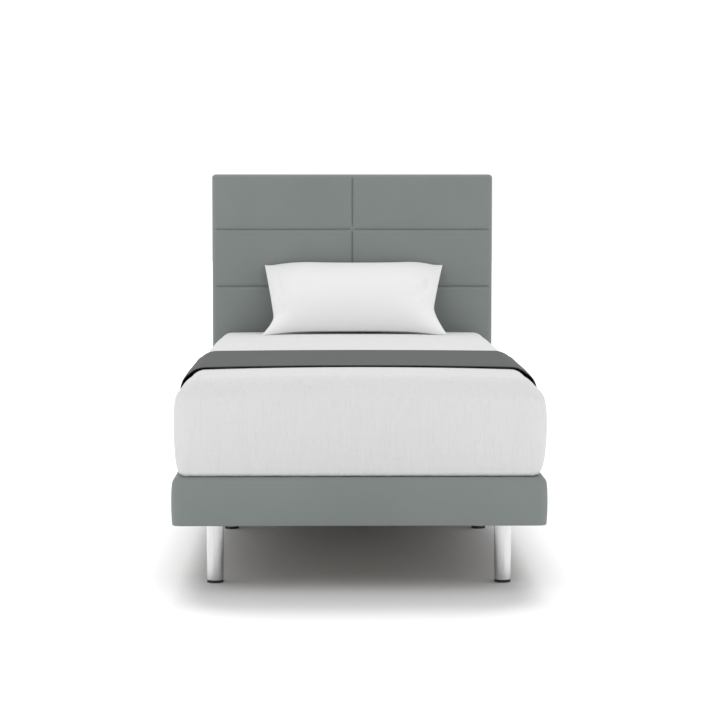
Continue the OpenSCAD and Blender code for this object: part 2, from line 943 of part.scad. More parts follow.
inlet_y = y_around(back_torque_at - inlet_inset, inlet_half_w);
inlet_z = [drive_z0 + inlet_rise, drive_z0 + inlet_rise + inlet_h];

// Face of a push block that meets its lever's nose, measured from the torque tube's axis
function push_face(lever_rest) = lever_l * sin(lever_rest) + nose_r + push_gap;
back_push_y = at(back_torque_at) - push_face(back_lever_rest);
leg_push_y = at(leg_torque_at) + push_face(leg_lever_rest);

// Lower half of the drive housing, with the push blocks' rails, the spindle bearings and feet
module drive_tray() {
    stop_half_w = 12;
    foot_half_w = 15;
    foot_inset = 5;
    runner_off = 13;
    runner_half_w = 4;
    runner_end_gap = 4;
    post_inset = 6;
    post_r = 3;
    color([0.12, 0.12, 0.13])
        difference() {
            union() {
                difference() {
                    block([-drive_half_w, drive_half_w], drive_y, [drive_z0, drive_split_z]);
                    block(around(0, drive_half_w - drive_wall),
                        [drive_y[0] + drive_wall, drive_y[1] - drive_wall],
                        [drive_floor_z, drive_split_z + eps]);
                }
                for (side = [-1, 1]) {
                    end = side > 0 ? drive_y[1] - drive_wall : drive_y[0] + drive_wall;
                    bearing = [min(end, end - side * spindle_stop_l),
                        max(end, end - side * spindle_stop_l)];
                    x = side * spindle_x;
                    block(around(x, stop_half_w), bearing, [drive_floor_z, drive_split_z]);
                    gearbox_y = side > 0 ? back_gearbox_y : leg_gearbox_y;
                    block(around(x, foot_half_w),
                        [gearbox_y + foot_inset, gearbox_y + gearbox_l - foot_inset],
                        [drive_floor_z, gearbox_z[0]]);
                    run = side > 0 ? [back_gearbox_y + gearbox_l + runner_end_gap, bearing[0]]
                        : [bearing[1], leg_gearbox_y - runner_end_gap];
                    for (offset = [-1, 1])
                        block(around(x + offset * runner_off, runner_half_w), run,
                            [drive_floor_z, block_z0 - slide_gap]);
                }
                for (x = [board_x[0] + post_inset, board_x[1] - post_inset],
                    y = [board_y[0] + post_inset, board_y[1] - post_inset])
                    rod_z(x, y, [drive_floor_z, board_z], post_r);
            }
            rod_y(spindle_x, [drive_y[1] - drive_wall - spindle_stop_l - eps,
                drive_y[1] - drive_wall], spindle_z, spindle_r + running_gap);
            rod_y(-spindle_x, [drive_y[0] + drive_wall,
                drive_y[0] + drive_wall + spindle_stop_l + eps], spindle_z, spindle_r + running_gap);
            block([-drive_half_w - eps, -drive_half_w + drive_wall + eps], inlet_y, inlet_z);
        }
}

// Upper half of the drive housing: slots for the levers, and four saddles on the torque tubes
module drive_cover() {
    slot_side = 12;
    slot_half = spindle_r + slot_side;
    slot_y = [38, 40]; // reach of a slot to the lever's rest side and to its far side
    color([0.12, 0.12, 0.13])
        difference() {
            union() {
                difference() {
                    block([-drive_half_w, drive_half_w], drive_y, [drive_split_z, drive_z1]);
                    block(around(0, drive_half_w - drive_wall),
                        [drive_y[0] + drive_wall, drive_y[1] - drive_wall],
                        [drive_split_z - eps, drive_z1 - drive_wall]);
                }
                both_sides()
                    for (axis = [back_torque_at, leg_torque_at])
                        block(saddle_x, y_around(axis, saddle_half_l), [drive_z1 - eps, torque_z]);
            }
            for (axis = [back_torque_at, leg_torque_at])
                rod_x([-drive_half_w, drive_half_w], at(axis), torque_z, torque_r + running_gap);
            block(around(spindle_x, slot_half),
                [at(back_torque_at) - slot_y[0], at(back_torque_at) + slot_y[1]],
                [drive_z1 - drive_wall - eps, drive_z1 + eps]);
            block(around(-spindle_x, slot_half),
                [at(leg_torque_at) - slot_y[1], at(leg_torque_at) + slot_y[0]],
                [drive_z1 - drive_wall - eps, drive_z1 + eps]);
        }
}

// Caps that close the four saddles over the torque tubes
module drive_saddle_caps() {
    color([0.12, 0.12, 0.13])
        both_sides()
            for (axis = [back_torque_at, leg_torque_at])
                difference() {
                    block(saddle_x, y_around(axis, saddle_half_l),
                        [torque_z, torque_z + torque_r + saddle_cap_wall]);
                    rod_x([saddle_x[0] - eps, saddle_x[1] + eps], at(axis), torque_z,
                        torque_r + running_gap);
                }
}

// One motor with its gearbox; the spindle's inner end turns in the gearbox
module gear_motor(x_dir, gearbox_y, mouth) {
    x = x_dir * spindle_x;
    motor_from = x + x_dir * gearbox_half_w;
    motor_to = motor_from + x_dir * motor_l;
    difference() {
        block(around(x, gearbox_half_w), [gearbox_y, gearbox_y + gearbox_l], gearbox_z);
        rod_y(x, mouth, spindle_z, spindle_r + running_gap);
    }
    rod_x([min(motor_from, motor_to), max(motor_from, motor_to)], gearbox_y + gearbox_l / 2,
        spindle_z, motor_r);
}

module drive_motors() {
    color([0.4, 0.4, 0.42]) {
        gear_motor(1, back_gearbox_y,
            [back_gearbox_y + gearbox_l / 3, back_gearbox_y + gearbox_l + eps]);
        gear_motor(-1, leg_gearbox_y, [leg_gearbox_y - eps, leg_gearbox_y + 2 * gearbox_l / 3]);
    }
}

// Control board with its transformer and relays
module drive_circuit_board() {
    board_t = 1.6;
    transformer = [45, 45, 28];
    transformer_inset = [10, 15];
    relay = [14, 18, 15];
    relay_inset = [12, 10];
    relay_pitch = 18;
    board_top = board_z + board_t;
    color([0.1, 0.35, 0.2]) {
        block(board_x, board_y, [board_z, board_top]);
        translate([board_x[0] + transformer_inset[0], board_y[0] + transformer_inset[1], board_top])
            cube(transformer);
        for (i = [0 : 2])
            translate([board_x[0] + relay_inset[0] + relay_pitch * i,
                board_y[1] - relay_inset[1] - relay[1], board_top])
                cube(relay);
    }
}

// Two-pin mains socket in the side of the tray; the pins stand in its recess
module mains_inlet() {
    flange = 3;
    rim = 3;
    body_behind = 3;
    recess_floor = 1;
    recess_half_w = 8;
    recess_half_h = 4.2;
    contact_off = 4.3;
    contact_r = 1.2;
    body_x = [-drive_half_w, -drive_half_w + drive_wall + body_behind];
    recess_end = body_x[1] - recess_floor;
    mid_y = (inlet_y[0] + inlet_y[1]) / 2;
    mid_z = (inlet_z[0] + inlet_z[1]) / 2;
    color([0.08, 0.08, 0.08]) {
        difference() {
            union() {
                block([-drive_half_w - flange, -drive_half_w], around(mid_y, inlet_half_w + rim),
                    around(mid_z, inlet_h / 2 + rim));
                block(body_x, around(mid_y, inlet_half_w - slide_gap),
                    around(mid_z, inlet_h / 2 - slide_gap));
            }
            block([-drive_half_w - flange - eps, recess_end], around(mid_y, recess_half_w),
                around(mid_z, recess_half_h));
        }
        for (side = [-1, 1])
            rod_x([-drive_half_w, recess_end], mid_y + side * contact_off, mid_z, contact_r);
    }
}

// Nut blocks that the spindles drive outwards against the lever noses. They stay low enough
// for a lever to lean over them at the end of its travel.
module push_block(x, y, above) {
    color([0.85, 0.85, 0.82])
        difference() {
            block(around(x, block_half_w), y, [block_z0, spindle_z + above]);
            rod_y(x, [y[0] - eps, y[1] + eps], spindle_z, spindle_r + running_gap);
        }
}

module back_push_block() {
    push_block(spindle_x, [back_push_y - block_l, back_push_y], back_block_above);
}

module leg_push_block() {
    push_block(-spindle_x, [leg_push_y, leg_push_y + block_l], leg_block_above);
}

spindle_end_gap = 1;

module back_spindle() {
    color("silver")
        rod_y(spindle_x, [back_gearbox_y + gearbox_l / 3 + spindle_end_gap,
            drive_y[1] - drive_wall - spindle_end_gap], spindle_z, spindle_r);
}

module leg_spindle() {
    color("silver")
        rod_y(-spindle_x, [drive_y[0] + drive_wall + spindle_end_gap,
            leg_gearbox_y + 2 * gearbox_l / 3 - spindle_end_gap], spindle_z, spindle_r);
}

// ---------- headboard ----------

headboard_z0 = headboard_top - top_row_h - (row_count - 1) * row_h;
headboard_h = headboard_top - headboard_z0;
skin_front_t = 3;
skin_edge_t = 5;
cloth_t = 2;
inner_x = half_w - skin_edge_t;
inner_z = [headboard_z0 + skin_edge_t, headboard_top - skin_edge_t];
pads_at = headboard_at + skin_front_t;
board_at = pads_at + pad_t;
timber_at = board_at + board_t;
cloth_at = headboard_at + headboard_t - cloth_t;
stile_w = 60;
timber_rail_h = 60;
bolt_gap = 0.2;
bolt_head_h = 6;
bolt_head_r = 7.5;
bolt_head_gap = 0.5;
bolt_drop = 30; // hinge line to the middle of each pair of bolts
bolt_bite = 20;
bolt_hole_spare = 5;
bolt_spots = [for (x = [-bolt_x, bolt_x], z = [-0.5, 0.5])
    [x, hinge_z - bolt_drop + z * bolt_rise]];
groove_zs = [for (i = [0 : row_count - 2]) headboard_top - top_row_h - i * row_h];
groove_w = 6;
groove_depth = 1.5;
groove_stop = 12;

module bolt_holes(r) {
    for (spot = bolt_spots)
        rod_y(spot[0], y_span(rail_end_at - rail_t - eps, timber_at + bolt_bite + bolt_hole_spare),
            spot[1], r);
}

// Openings in the lining, in which the bolt heads bear on the rail
module bolt_head_holes() {
    for (spot = bolt_spots)
        rod_y(spot[0], y_span(rail_end_at - rail_t - lining_t - eps, rail_end_at - rail_t),
            spot[1], bolt_head_r + bolt_head_gap);
}

// Timber ladder inside the headboard: two stiles, and rails at the top, the middle and the bolts
module headboard_frame() {
    depth = y_span(timber_at, cloth_at);
    fixing_half_h = 50;
    fixing_z = around(hinge_z - bolt_drop, fixing_half_h);
    middle_z = (inner_z[1] + fixing_z[1]) / 2 - timber_rail_h / 2;
    color("burlywood")
        difference() {
            union() {
                both_sides()
                    block([inner_x - stile_w, inner_x], depth, inner_z);
                for (z = [fixing_z, [middle_z, middle_z + timber_rail_h],
                    [inner_z[1] - timber_rail_h, inner_z[1]]])
                    block(around(0, inner_x - stile_w - weld_gap), depth, z);
            }
            bolt_holes(bolt_r);
        }
}

module headboard_board() {
    color("tan")
        difference() {
            block(around(0, inner_x), y_span(board_at, timber_at), inner_z);
            bolt_holes(bolt_r + bolt_gap);
        }
}

// Foam pads, one behind each quilted field
module headboard_pads() {
    edges = concat([inner_z[1] + pad_gap / 2], groove_zs, [inner_z[0] - pad_gap / 2]);
    color([0.93, 0.88, 0.7])
        difference() {
            both_sides()
                for (i = [0 : row_count - 1])
                    block([pad_gap / 2, inner_x], y_span(pads_at, board_at),
                        [edges[i + 1] + pad_gap / 2, edges[i] - pad_gap / 2]);
            bolt_holes(bolt_r + bolt_gap);
        }
}

// Fabric skin over the front and the edges, pulled in along the grooves
module headboard_cover() {
    back_edge_r = 1;
    color([0.50, 0.53, 0.52])
        difference() {
            translate([0, at(headboard_at + headboard_t), headboard_z0 + headboard_h / 2])
                rotate([90, 0, 0])
                    padded_block(base_w, headboard_h, headboard_t, headboard_corner_r,
                        headboard_edge_r, back_edge_r);
            block(around(0, inner_x), y_span(pads_at, headboard_at + headboard_t + eps), inner_z);
            for (z = groove_zs)
                block(around(0, half_w - groove_stop), y_span(headboard_at - eps,
                    headboard_at + groove_depth), around(z, groove_w / 2));
            block(around(0, groove_w / 2), y_span(headboard_at - eps, headboard_at + groove_depth),
                [headboard_z0 + groove_stop, headboard_top - groove_stop]);
            bolt_holes(bolt_r + bolt_gap);
        }
}

module headboard_back_cloth() {
    color([0.2, 0.2, 0.2])
        block(around(0, inner_x), y_span(cloth_at, headboard_at + headboard_t), inner_z);
}

module headboard_bolts() {
    color("silver")
        for (spot = bolt_spots) {
            rod_y(spot[0], y_span(rail_end_at - rail_t, timber_at + bolt_bite), spot[1], bolt_r);
            translate([spot[0], at(rail_end_at - rail_t), spot[1]])
                rotate([90, 0, 0])
                    cylinder(r = bolt_head_r, h = bolt_head_h, $fn = 6);
        }
}

// Plastic rings that keep the headboard clear of the box
module headboard_spacers() {
    spacer_r = 12;
    color([0.1, 0.1, 0.1])
        for (spot = bolt_spots)
            difference() {
                rod_y(spot[0], y_span(base_l, headboard_at), spot[1], spacer_r);
                rod_y(spot[0], y_span(base_l - eps, headboard_at + eps), spot[1],
                    bolt_r + bolt_gap);
            }
}

// ---------- mattress and bedding ----------

mattress_cut = 1;
mattress_corner_r = 60;
runner_gap = 0.4;

// The stretch of the mattress that lies on one deck section
module mattress_part(from, to) {
    color("whitesmoke")
        intersection() {
            translate([0, at(base_l / 2), mattress_z0])
                padded_block(mattress_w, mattress_l, mattress_h, mattress_corner_r,
                    mattress_top_r, mattress_bottom_r);
            block([-base_w, base_w], y_span(from, to), [mattress_z0 - eps, mattress_z1 + eps]);
        }
}

module mattress_calf() mattress_part(0, knee_at - mattress_cut / 2);
module mattress_thigh() mattress_part(knee_at + mattress_cut / 2, hip_at - mattress_cut / 2);
module mattress_seat() mattress_part(hip_at + mattress_cut / 2, recline_at - mattress_cut / 2);
module mattress_back() mattress_part(recline_at + mattress_cut / 2, base_l);

// Cloth laid over the mattress and down its sides
module runner_part(from, to) {
    outer = runner_gap + runner_t;
    color([0.43, 0.44, 0.435])
        translate([0, at(to), mattress_z0])
            rotate([90, 0, 0])
                linear_extrude(to - from)
                    difference() {
                        full_section(mattress_w + 2 * outer, mattress_h + outer,
                            mattress_top_r + outer, mattress_bottom_r);
                        full_section(mattress_w + 2 * runner_gap, mattress_h + runner_gap,
                            mattress_top_r + runner_gap, mattress_bottom_r);
                        translate([-base_w, -base_w])
                            square([2 * base_w, base_w + mattress_h - runner_drop]);
                    }
}

module runner_calf() runner_part(runner_at, knee_at - mattress_cut / 2);
module runner_thigh() runner_part(knee_at + mattress_cut / 2, runner_at + runner_l);

// Pillow as a long lens: two shallow arcs that meet at its lower and upper edges
module pillow() {
    arc_r = (pow(pillow_l / 2, 2) + pow(pillow_t / 2, 2)) / pillow_t;
    centre_off = arc_r - pillow_t / 2;
    top_gap = 5;
    top_y = at(headboard_at) - top_gap;
    low_gap = 1;
    color("white")
        translate([0, top_y - pillow_l * cos(pillow_lean), mattress_z1 + low_gap])
            rotate([pillow_lean, 0, 0])
                translate([0, pillow_l / 2, 0])
                    intersection() {
                        rod_x(around(0, pillow_w / 2), 0, -centre_off, arc_r);
                        rod_x(around(0, pillow_w / 2), 0, centre_off, arc_r);
                    }
}

side_rail_left();
side_rail_right();
foot_rail();
head_rail();
corner_blocks();
box_cover();
leg_beams();
foot_legs();
middle_legs();
head_legs();
leg_glides();
leg_studs();
frame_side_members();
frame_cross_tubes();
hinge_brackets();
hinge_pins();
rubber_buffers();
seat_frame();
seat_slats();
seat_slat_caps();
mattress_seat();
torque_bearings();
drive_tray();
drive_cover();
drive_saddle_caps();
drive_motors();
drive_circuit_board();
mains_inlet();
headboard_frame();
headboard_board();
headboard_pads();
headboard_cover();
headboard_back_cloth();
headboard_bolts();
headboard_spacers();
back_frame();
back_slats();
back_slat_caps();
mattress_back();
pillow();
thigh_frame();
thigh_slats();
thigh_slat_caps();
knee_pins();
mattress_thigh();
runner_thigh();
calf_frame();
calf_slats();
calf_slat_caps();
mattress_calf();
runner_calf();
calf_link_arms();
back_torque_tube();
back_rollers();
leg_torque_tube();
leg_rollers();
back_push_block();
leg_push_block();
back_spindle();
leg_spindle();
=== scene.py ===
import json
import math

import bpy
import mathutils
import numpy as np
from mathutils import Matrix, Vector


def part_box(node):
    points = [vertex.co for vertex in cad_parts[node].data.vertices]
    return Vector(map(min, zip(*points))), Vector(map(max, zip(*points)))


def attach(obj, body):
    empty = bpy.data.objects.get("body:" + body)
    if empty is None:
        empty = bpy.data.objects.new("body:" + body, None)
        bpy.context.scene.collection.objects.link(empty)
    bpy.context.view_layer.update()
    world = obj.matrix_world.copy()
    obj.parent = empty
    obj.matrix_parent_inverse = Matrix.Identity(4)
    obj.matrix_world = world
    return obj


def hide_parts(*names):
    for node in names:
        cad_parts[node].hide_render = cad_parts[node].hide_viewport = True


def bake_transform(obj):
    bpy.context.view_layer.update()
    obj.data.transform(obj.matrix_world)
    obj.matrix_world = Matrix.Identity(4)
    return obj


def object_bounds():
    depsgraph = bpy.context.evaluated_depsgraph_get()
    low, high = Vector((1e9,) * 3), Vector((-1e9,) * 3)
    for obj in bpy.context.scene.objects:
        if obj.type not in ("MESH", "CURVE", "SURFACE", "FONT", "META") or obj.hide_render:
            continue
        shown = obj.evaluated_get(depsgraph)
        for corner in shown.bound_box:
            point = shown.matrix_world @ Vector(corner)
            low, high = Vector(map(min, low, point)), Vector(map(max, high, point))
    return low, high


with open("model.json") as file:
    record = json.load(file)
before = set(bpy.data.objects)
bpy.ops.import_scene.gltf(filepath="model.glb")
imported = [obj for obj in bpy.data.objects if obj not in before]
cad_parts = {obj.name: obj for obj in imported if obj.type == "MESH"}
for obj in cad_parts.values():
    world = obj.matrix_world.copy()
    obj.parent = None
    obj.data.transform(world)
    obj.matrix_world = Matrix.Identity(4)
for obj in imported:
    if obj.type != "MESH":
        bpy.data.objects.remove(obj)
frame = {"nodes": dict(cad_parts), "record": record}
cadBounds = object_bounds()
print("frame loaded:", len(frame["nodes"]), "nodes")

tiny = 1e-9  # keeps a division from meeting zero
onCut = 1e-6  # a point this near to a cut lies on it

# the studio: lengths in metres, angles in degrees, lamp powers in watts
cameraView = {"at": (-0.068, -6.695, 0.966), "lens": 114.7, "down": 3.97, "turn": 0.70,
              "sensor": 36.0, "clipEnd": 100.0}
studio = {"skyStrength": 1.04, "floorSize": 60.0, "floorColor": 0.70, "floorShade": 0.995,
          "floorCloud": 3.0, "floorGap": 0.0005, "floorRoughness": 0.9, "floorSpecular": 0.1}
lamps = {"topLamp": {"at": (0, 1.6, 4.4), "aim": (0, 0, 0.2), "size": (5.0, 3.0), "power": 60.0},
         "frontLamp": {"at": (0, -7.5, 1.8), "aim": (0, 0, 0.5), "size": (6.0, 1.6), "power": 4.0}}
floorSun = {"strength": 3.8, "height": 46.0, "spread": 42.0}


# a camera that looks along +Y, turned a little to the right and tipped down
def makeCamera(view):
    data = bpy.data.cameras.new("camera")
    data.lens = view["lens"]
    data.sensor_width = view["sensor"]
    data.clip_end = view["clipEnd"]
    camera = bpy.data.objects.new("camera", data)
    camera.location = view["at"]
    camera.rotation_euler = (math.radians(90 - view["down"]), 0, math.radians(-view["turn"]))
    bpy.context.scene.collection.objects.link(camera)
    bpy.context.scene.camera = camera


# an even white sky
def makeStudio(values):
    world = bpy.data.worlds.new("studio")
    world.use_nodes = True
    sky = world.node_tree.nodes["Background"]
    sky.inputs["Color"].default_value = (1, 1, 1, 1)
    sky.inputs["Strength"].default_value = values["skyStrength"]
    bpy.context.scene.world = world
    bpy.context.scene.view_settings.view_transform = "Standard"


# a rectangular lamp that faces the point it aims at
def makeLamp(name, values):
    light = bpy.data.lights.new(name, "AREA")
    light.shape = "RECTANGLE"
    light.size, light.size_y = values["size"]
    light.energy = values["power"]
    lamp = bpy.data.objects.new(name, light)
    lamp.location = values["at"]
    toward = mathutils.Vector(values["aim"]) - mathutils.Vector(values["at"])
    lamp.rotation_euler = toward.to_track_quat("-Z", "Y").to_euler()
    bpy.context.scene.collection.objects.link(lamp)


makeCamera(cameraView)
makeStudio(studio)
for lampName, lampValues in lamps.items():
    makeLamp(lampName, lampValues)
print("camera and studio ready")


# a smooth step: 3t^2 - 2t^3 with t held between 0 and 1
def smooth(t):
    t = np.clip(t, 0, 1)
    return t * t * (3 - 2 * t)


# grid lines from low to high, evenly spaced, with closer lines in a strip at each end
def lines(low, high, step, edge=0.0, edgeCount=0):
    inner = np.linspace(low + edge, high - edge, max(2, round((high - low - 2 * edge) / step) + 1))
    if not edgeCount:
        return inner
    near = np.linspace(low, low + edge, edgeCount, endpoint=False)
    return np.concatenate([near, inner, (low + high) - near[::-1]])


# the skin of a box ruled by three lists of grid lines: six faces of quads, welded along the edges
def boxSkin(xs, ys, zs):
    counts = (len(xs), len(ys), len(zs))
    faces = []
    for axis, first, second, outward in ((2, 0, 1, 1), (0, 1, 2, 1), (1, 0, 2, 0)):
        a, b = np.meshgrid(np.arange(counts[first]), np.arange(counts[second]), indexing="ij")
        for end in (0, 1):
            index = [None, None, None]
            index[first], index[second] = a, b
            index[axis] = np.full_like(a, end * (counts[axis] - 1))
            ids = (index[0] * counts[1] + index[1]) * counts[2] + index[2]
            quads = np.stack([ids[:-1, :-1], ids[1:, :-1], ids[1:, 1:], ids[:-1, 1:]], -1)
            quads = quads.reshape(-1, 4)
            faces.append(quads if end == outward else quads[:, ::-1])
    quads = np.concatenate(faces)
    used, quads = np.unique(quads, return_inverse=True)
    x, rest = np.divmod(used, counts[1] * counts[2])
    y, z = np.divmod(rest, counts[2])
    return np.stack([xs[x], ys[y], zs[z]], -1), quads.reshape(-1, 4)


# rounded edges: a point keeps its nearest point on a smaller inner box, and its offset from that,
# as shares of the radii, is drawn in from a square to a circle
def roundOff(points, low, high, radii):
    inner = np.clip(points, low + radii, high - radii)
    share = (points - inner) / radii
    length = np.linalg.norm(share, axis=1, keepdims=True)
    square = np.abs(share).max(1, keepdims=True)
    return inner + share * radii * square / np.maximum(length, tiny)


# a finished piece at the origin, with its place in its mesh; faces at a cut are left flat, so that
# shading runs on into the next piece
def newPiece(name, points, quads, material, body=None, flatAt=()):
    mesh = bpy.data.meshes.new(name)
    mesh.from_pydata(points.tolist(), [], quads.tolist())
    soft = np.ones(len(quads), bool)
    corners = points[quads]
    for y in flatAt:
        soft &= ~(np.abs(corners[:, :, 1] - y).max(1) < onCut)
    mesh.polygons.foreach_set("use_smooth", soft)
    mesh.materials.append(material)
    mesh.update()
    piece = bpy.data.objects.new(name, mesh)
    bpy.context.scene.collection.objects.link(piece)
    if body:
        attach(piece, body)
    return piece


# a Principled material with its even values on the shader; also gives its node tree, its shader
# and the object coordinates, for the nodes that are added to it
def newMaterial(name, roughness, metallic=0.0, specular=0.5, sheen=0.0, coat=0.0,
                sheenRoughness=0.5):
    material = bpy.data.materials.new(name)
    material.use_nodes = True
    tree = material.node_tree
    shader = tree.nodes["Principled BSDF"]
    shader.inputs["Roughness"].default_value = roughness
    shader.inputs["Metallic"].default_value = metallic
    shader.inputs["Specular IOR Level"].default_value = specular
    shader.inputs["Sheen Weight"].default_value = sheen
    shader.inputs["Sheen Roughness"].default_value = sheenRoughness
    shader.inputs["Coat Weight"].default_value = coat
    place = tree.nodes.new("ShaderNodeTexCoord").outputs["Object"]
    return material, tree, shader, place


# noise on stretched object coordinates
def addNoise(tree, place, scale, stretch=(1, 1, 1), detail=3.0):
    mapping = tree.nodes.new("ShaderNodeMapping")
    mapping.inputs["Scale"].default_value = stretch
    noise = tree.nodes.new("ShaderNodeTexNoise")
    noise.inputs["Scale"].default_value = scale
    noise.inputs["Detail"].default_value = detail
    tree.links.new(place, mapping.inputs["Vector"])
    tree.links.new(mapping.outputs["Vector"], noise.inputs["Vector"])
    return noise.outputs["Fac"]


# colours between two ends, by a factor
def addColors(tree, shader, factor, dark, light, low=0.35, high=0.65):
    ramp = tree.nodes.new("ShaderNodeValToRGB")
    ramp.color_ramp.elements[0].position = low
    ramp.color_ramp.elements[1].position = high
    ramp.color_ramp.elements[0].color = (*dark, 1)
    ramp.color_ramp.elements[1].color = (*light, 1)
    tree.links.new(factor, ramp.inputs["Fac"])
    tree.links.new(ramp.outputs["Color"], shader.inputs["Base Color"])


# a bump on the shader's normal, over another bump where one is given
def addBump(tree, shader, height, strength, distance, below=None):
    bump = tree.nodes.new("ShaderNodeBump")
    bump.inputs["Strength"].default_value = strength
    bump.inputs["Distance"].default_value = distance
    tree.links.new(height, bump.inputs["Height"])
    if below is not None:
        tree.links.new(below, bump.inputs["Normal"])
    tree.links.new(bump.outputs["Normal"], shader.inputs["Normal"])
    return bump.outputs["Normal"]


# one sum or product; each side is a number or a socket
def addMath(tree, operation, first, second):
    node = tree.nodes.new("ShaderNodeMath")
    node.operation = operation
    for socket, value in zip(node.inputs, (first, second)):
        if isinstance(value, (int, float)):
            socket.default_value = value
        else:
            tree.links.new(value, socket)
    return node.outputs[0]


# two factors added by their shares
def addMixed(tree, first, firstShare, second, secondShare):
    return addMath(tree, "ADD", addMath(tree, "MULTIPLY", first, firstShare),
                   addMath(tree, "MULTIPLY", second, secondShare))


# bandsInMetre is how many bands a wave texture draws in a metre at scale 1: 20 / (2 pi)
weave = {"bandsInMetre": 3.183, "distortion": 0.6, "detailScale": 3.0, "strength": 0.25,
         "depth": 0.0004}


# a plain weave: bands of thread along the three axes, added, so two sets cross on every face
def addWeave(tree, place, threads):
    total = None
    for direction in ("X", "Y", "Z"):
        wave = tree.nodes.new("ShaderNodeTexWave")
        wave.bands_direction = direction
        wave.inputs["Scale"].default_value = threads / weave["bandsInMetre"]
        wave.inputs["Distortion"].default_value = weave["distortion"]
        wave.inputs["Detail Scale"].default_value = weave["detailScale"]
        tree.links.new(place, wave.inputs["Vector"])
        height = wave.outputs["Fac"]
        total = height if total is None else addMath(tree, "ADD", total, height)
    return total


# the shade of a colour: each channel times the same share
def shade(color, share):
    return tuple(min(1.0, channel * share) for channel in color)


clothLook = {"roughness": 0.9, "specular": 0.25, "cloudScale": 5.0, "cloudShare": 0.6,
             "fleckScale": 420.0, "fleckShare": 0.4}
creases = {"uprightScale": 170.0, "upright": (1, 1, 0.03), "levelScale": 90.0,
           "level": (0.05, 0.05, 1), "levelShare": 0.5, "depth": 0.003}


# cloth: a colour that varies in clouds and flecks, and a weave; sheeting adds fine creases, long
# upright ones and fainter level ones
def clothMaterial(name, color, threads, variation, sheen, creaseStrength=0.0):
    look = clothLook
    material, tree, shader, place = newMaterial(name, look["roughness"],
                                                specular=look["specular"], sheen=sheen)
    cloud = addNoise(tree, place, look["cloudScale"])
    fleck = addNoise(tree, place, look["fleckScale"], detail=2.0)
    mixed = addMixed(tree, cloud, look["cloudShare"], fleck, look["fleckShare"])
    addColors(tree, shader, mixed, shade(color, 1 - variation), shade(color, 1 + variation))
    threading = addWeave(tree, place, threads)
    normal = addBump(tree, shader, threading, weave["strength"], weave["depth"])
    if creaseStrength:
        upright = addNoise(tree, place, creases["uprightScale"], stretch=creases["upright"])
        level = addNoise(tree, place, creases["levelScale"], stretch=creases["level"], detail=2.0)
        crease = addMath(tree, "ADD", upright,
                         addMath(tree, "MULTIPLY", level, creases["levelShare"]))
        addBump(tree, shader, crease, creaseStrength, creases["depth"], below=normal)
    return material


metalLook = {"grainScale": 300.0, "dark": 0.94, "light": 1.04, "smoother": 0.9, "rougher": 1.1,
             "strength": 0.03, "depth": 0.0002}


# bare metal: one fine grain, streaked where it is brushed, moves colour, roughness and bump
def metalMaterial(name, color, roughness, streaks=(1, 1, 1)):
    look = metalLook
    material, tree, shader, place = newMaterial(name, roughness, metallic=1.0)
    grain = addNoise(tree, place, look["grainScale"], stretch=streaks, detail=4.0)
    addColors(tree, shader, grain, shade(color, look["dark"]), shade(color, look["light"]))
    spread = tree.nodes.new("ShaderNodeMapRange")
    spread.inputs["To Min"].default_value = roughness * look["smoother"]
    spread.inputs["To Max"].default_value = roughness * look["rougher"]
    tree.links.new(grain, spread.inputs["Value"])
    tree.links.new(spread.outputs["Result"], shader.inputs["Roughness"])
    addBump(tree, shader, grain, look["strength"], look["depth"])
    return material


paintLook = {"coat": 0.1, "cloudScale": 14.0, "dark": 0.9, "light": 1.12, "depth": 0.0002}


# paint, plastic, rubber or foam: a clouded colour and a fine grain
def paintMaterial(name, color, roughness, grainScale=900.0, strength=0.15):
    look = paintLook
    material, tree, shader, place = newMaterial(name, roughness, coat=look["coat"])
    cloud = addNoise(tree, place, look["cloudScale"])
    addColors(tree, shader, cloud, shade(color, look["dark"]), shade(color, look["light"]))
    addBump(tree, shader, addNoise(tree, place, grainScale), strength, look["depth"])
    return material


woodLook = {"coat": 0.15, "grainScale": 9.0, "grainShare": 0.75, "poreScale": 160.0,
            "poreShare": 0.25, "poreStrength": 0.2, "poreDepth": 0.0003}


# wood: broad figure and fine pores, both noise stretched along the grain; the pores give the bump
def woodMaterial(name, dark, light, stretch, roughness):
    look = woodLook
    material, tree, shader, place = newMaterial(name, roughness, coat=look["coat"])
    grain = addNoise(tree, place, look["grainScale"], stretch=stretch, detail=6.0)
    pores = addNoise(tree, place, look["poreScale"], stretch=stretch, detail=2.0)
    mixed = addMixed(tree, grain, look["grainShare"], pores, look["poreShare"])
    addColors(tree, shader, mixed, dark, light)
    addBump(tree, shader, pores, look["poreStrength"], look["poreDepth"])
    return material


# base colours of the cloths, as linear light
colors = {"upholstery": (0.198, 0.220, 0.213), "mattress": (0.645, 0.645, 0.645),
          "runner": (0.0525, 0.056, 0.0545), "pillow": (0.75, 0.75, 0.75)}
# how noise is drawn out along one axis, for grain and brushing
alongX, alongY, alongZ = (0.08, 1, 1), (1, 0.08, 1), (1, 1, 0.08)
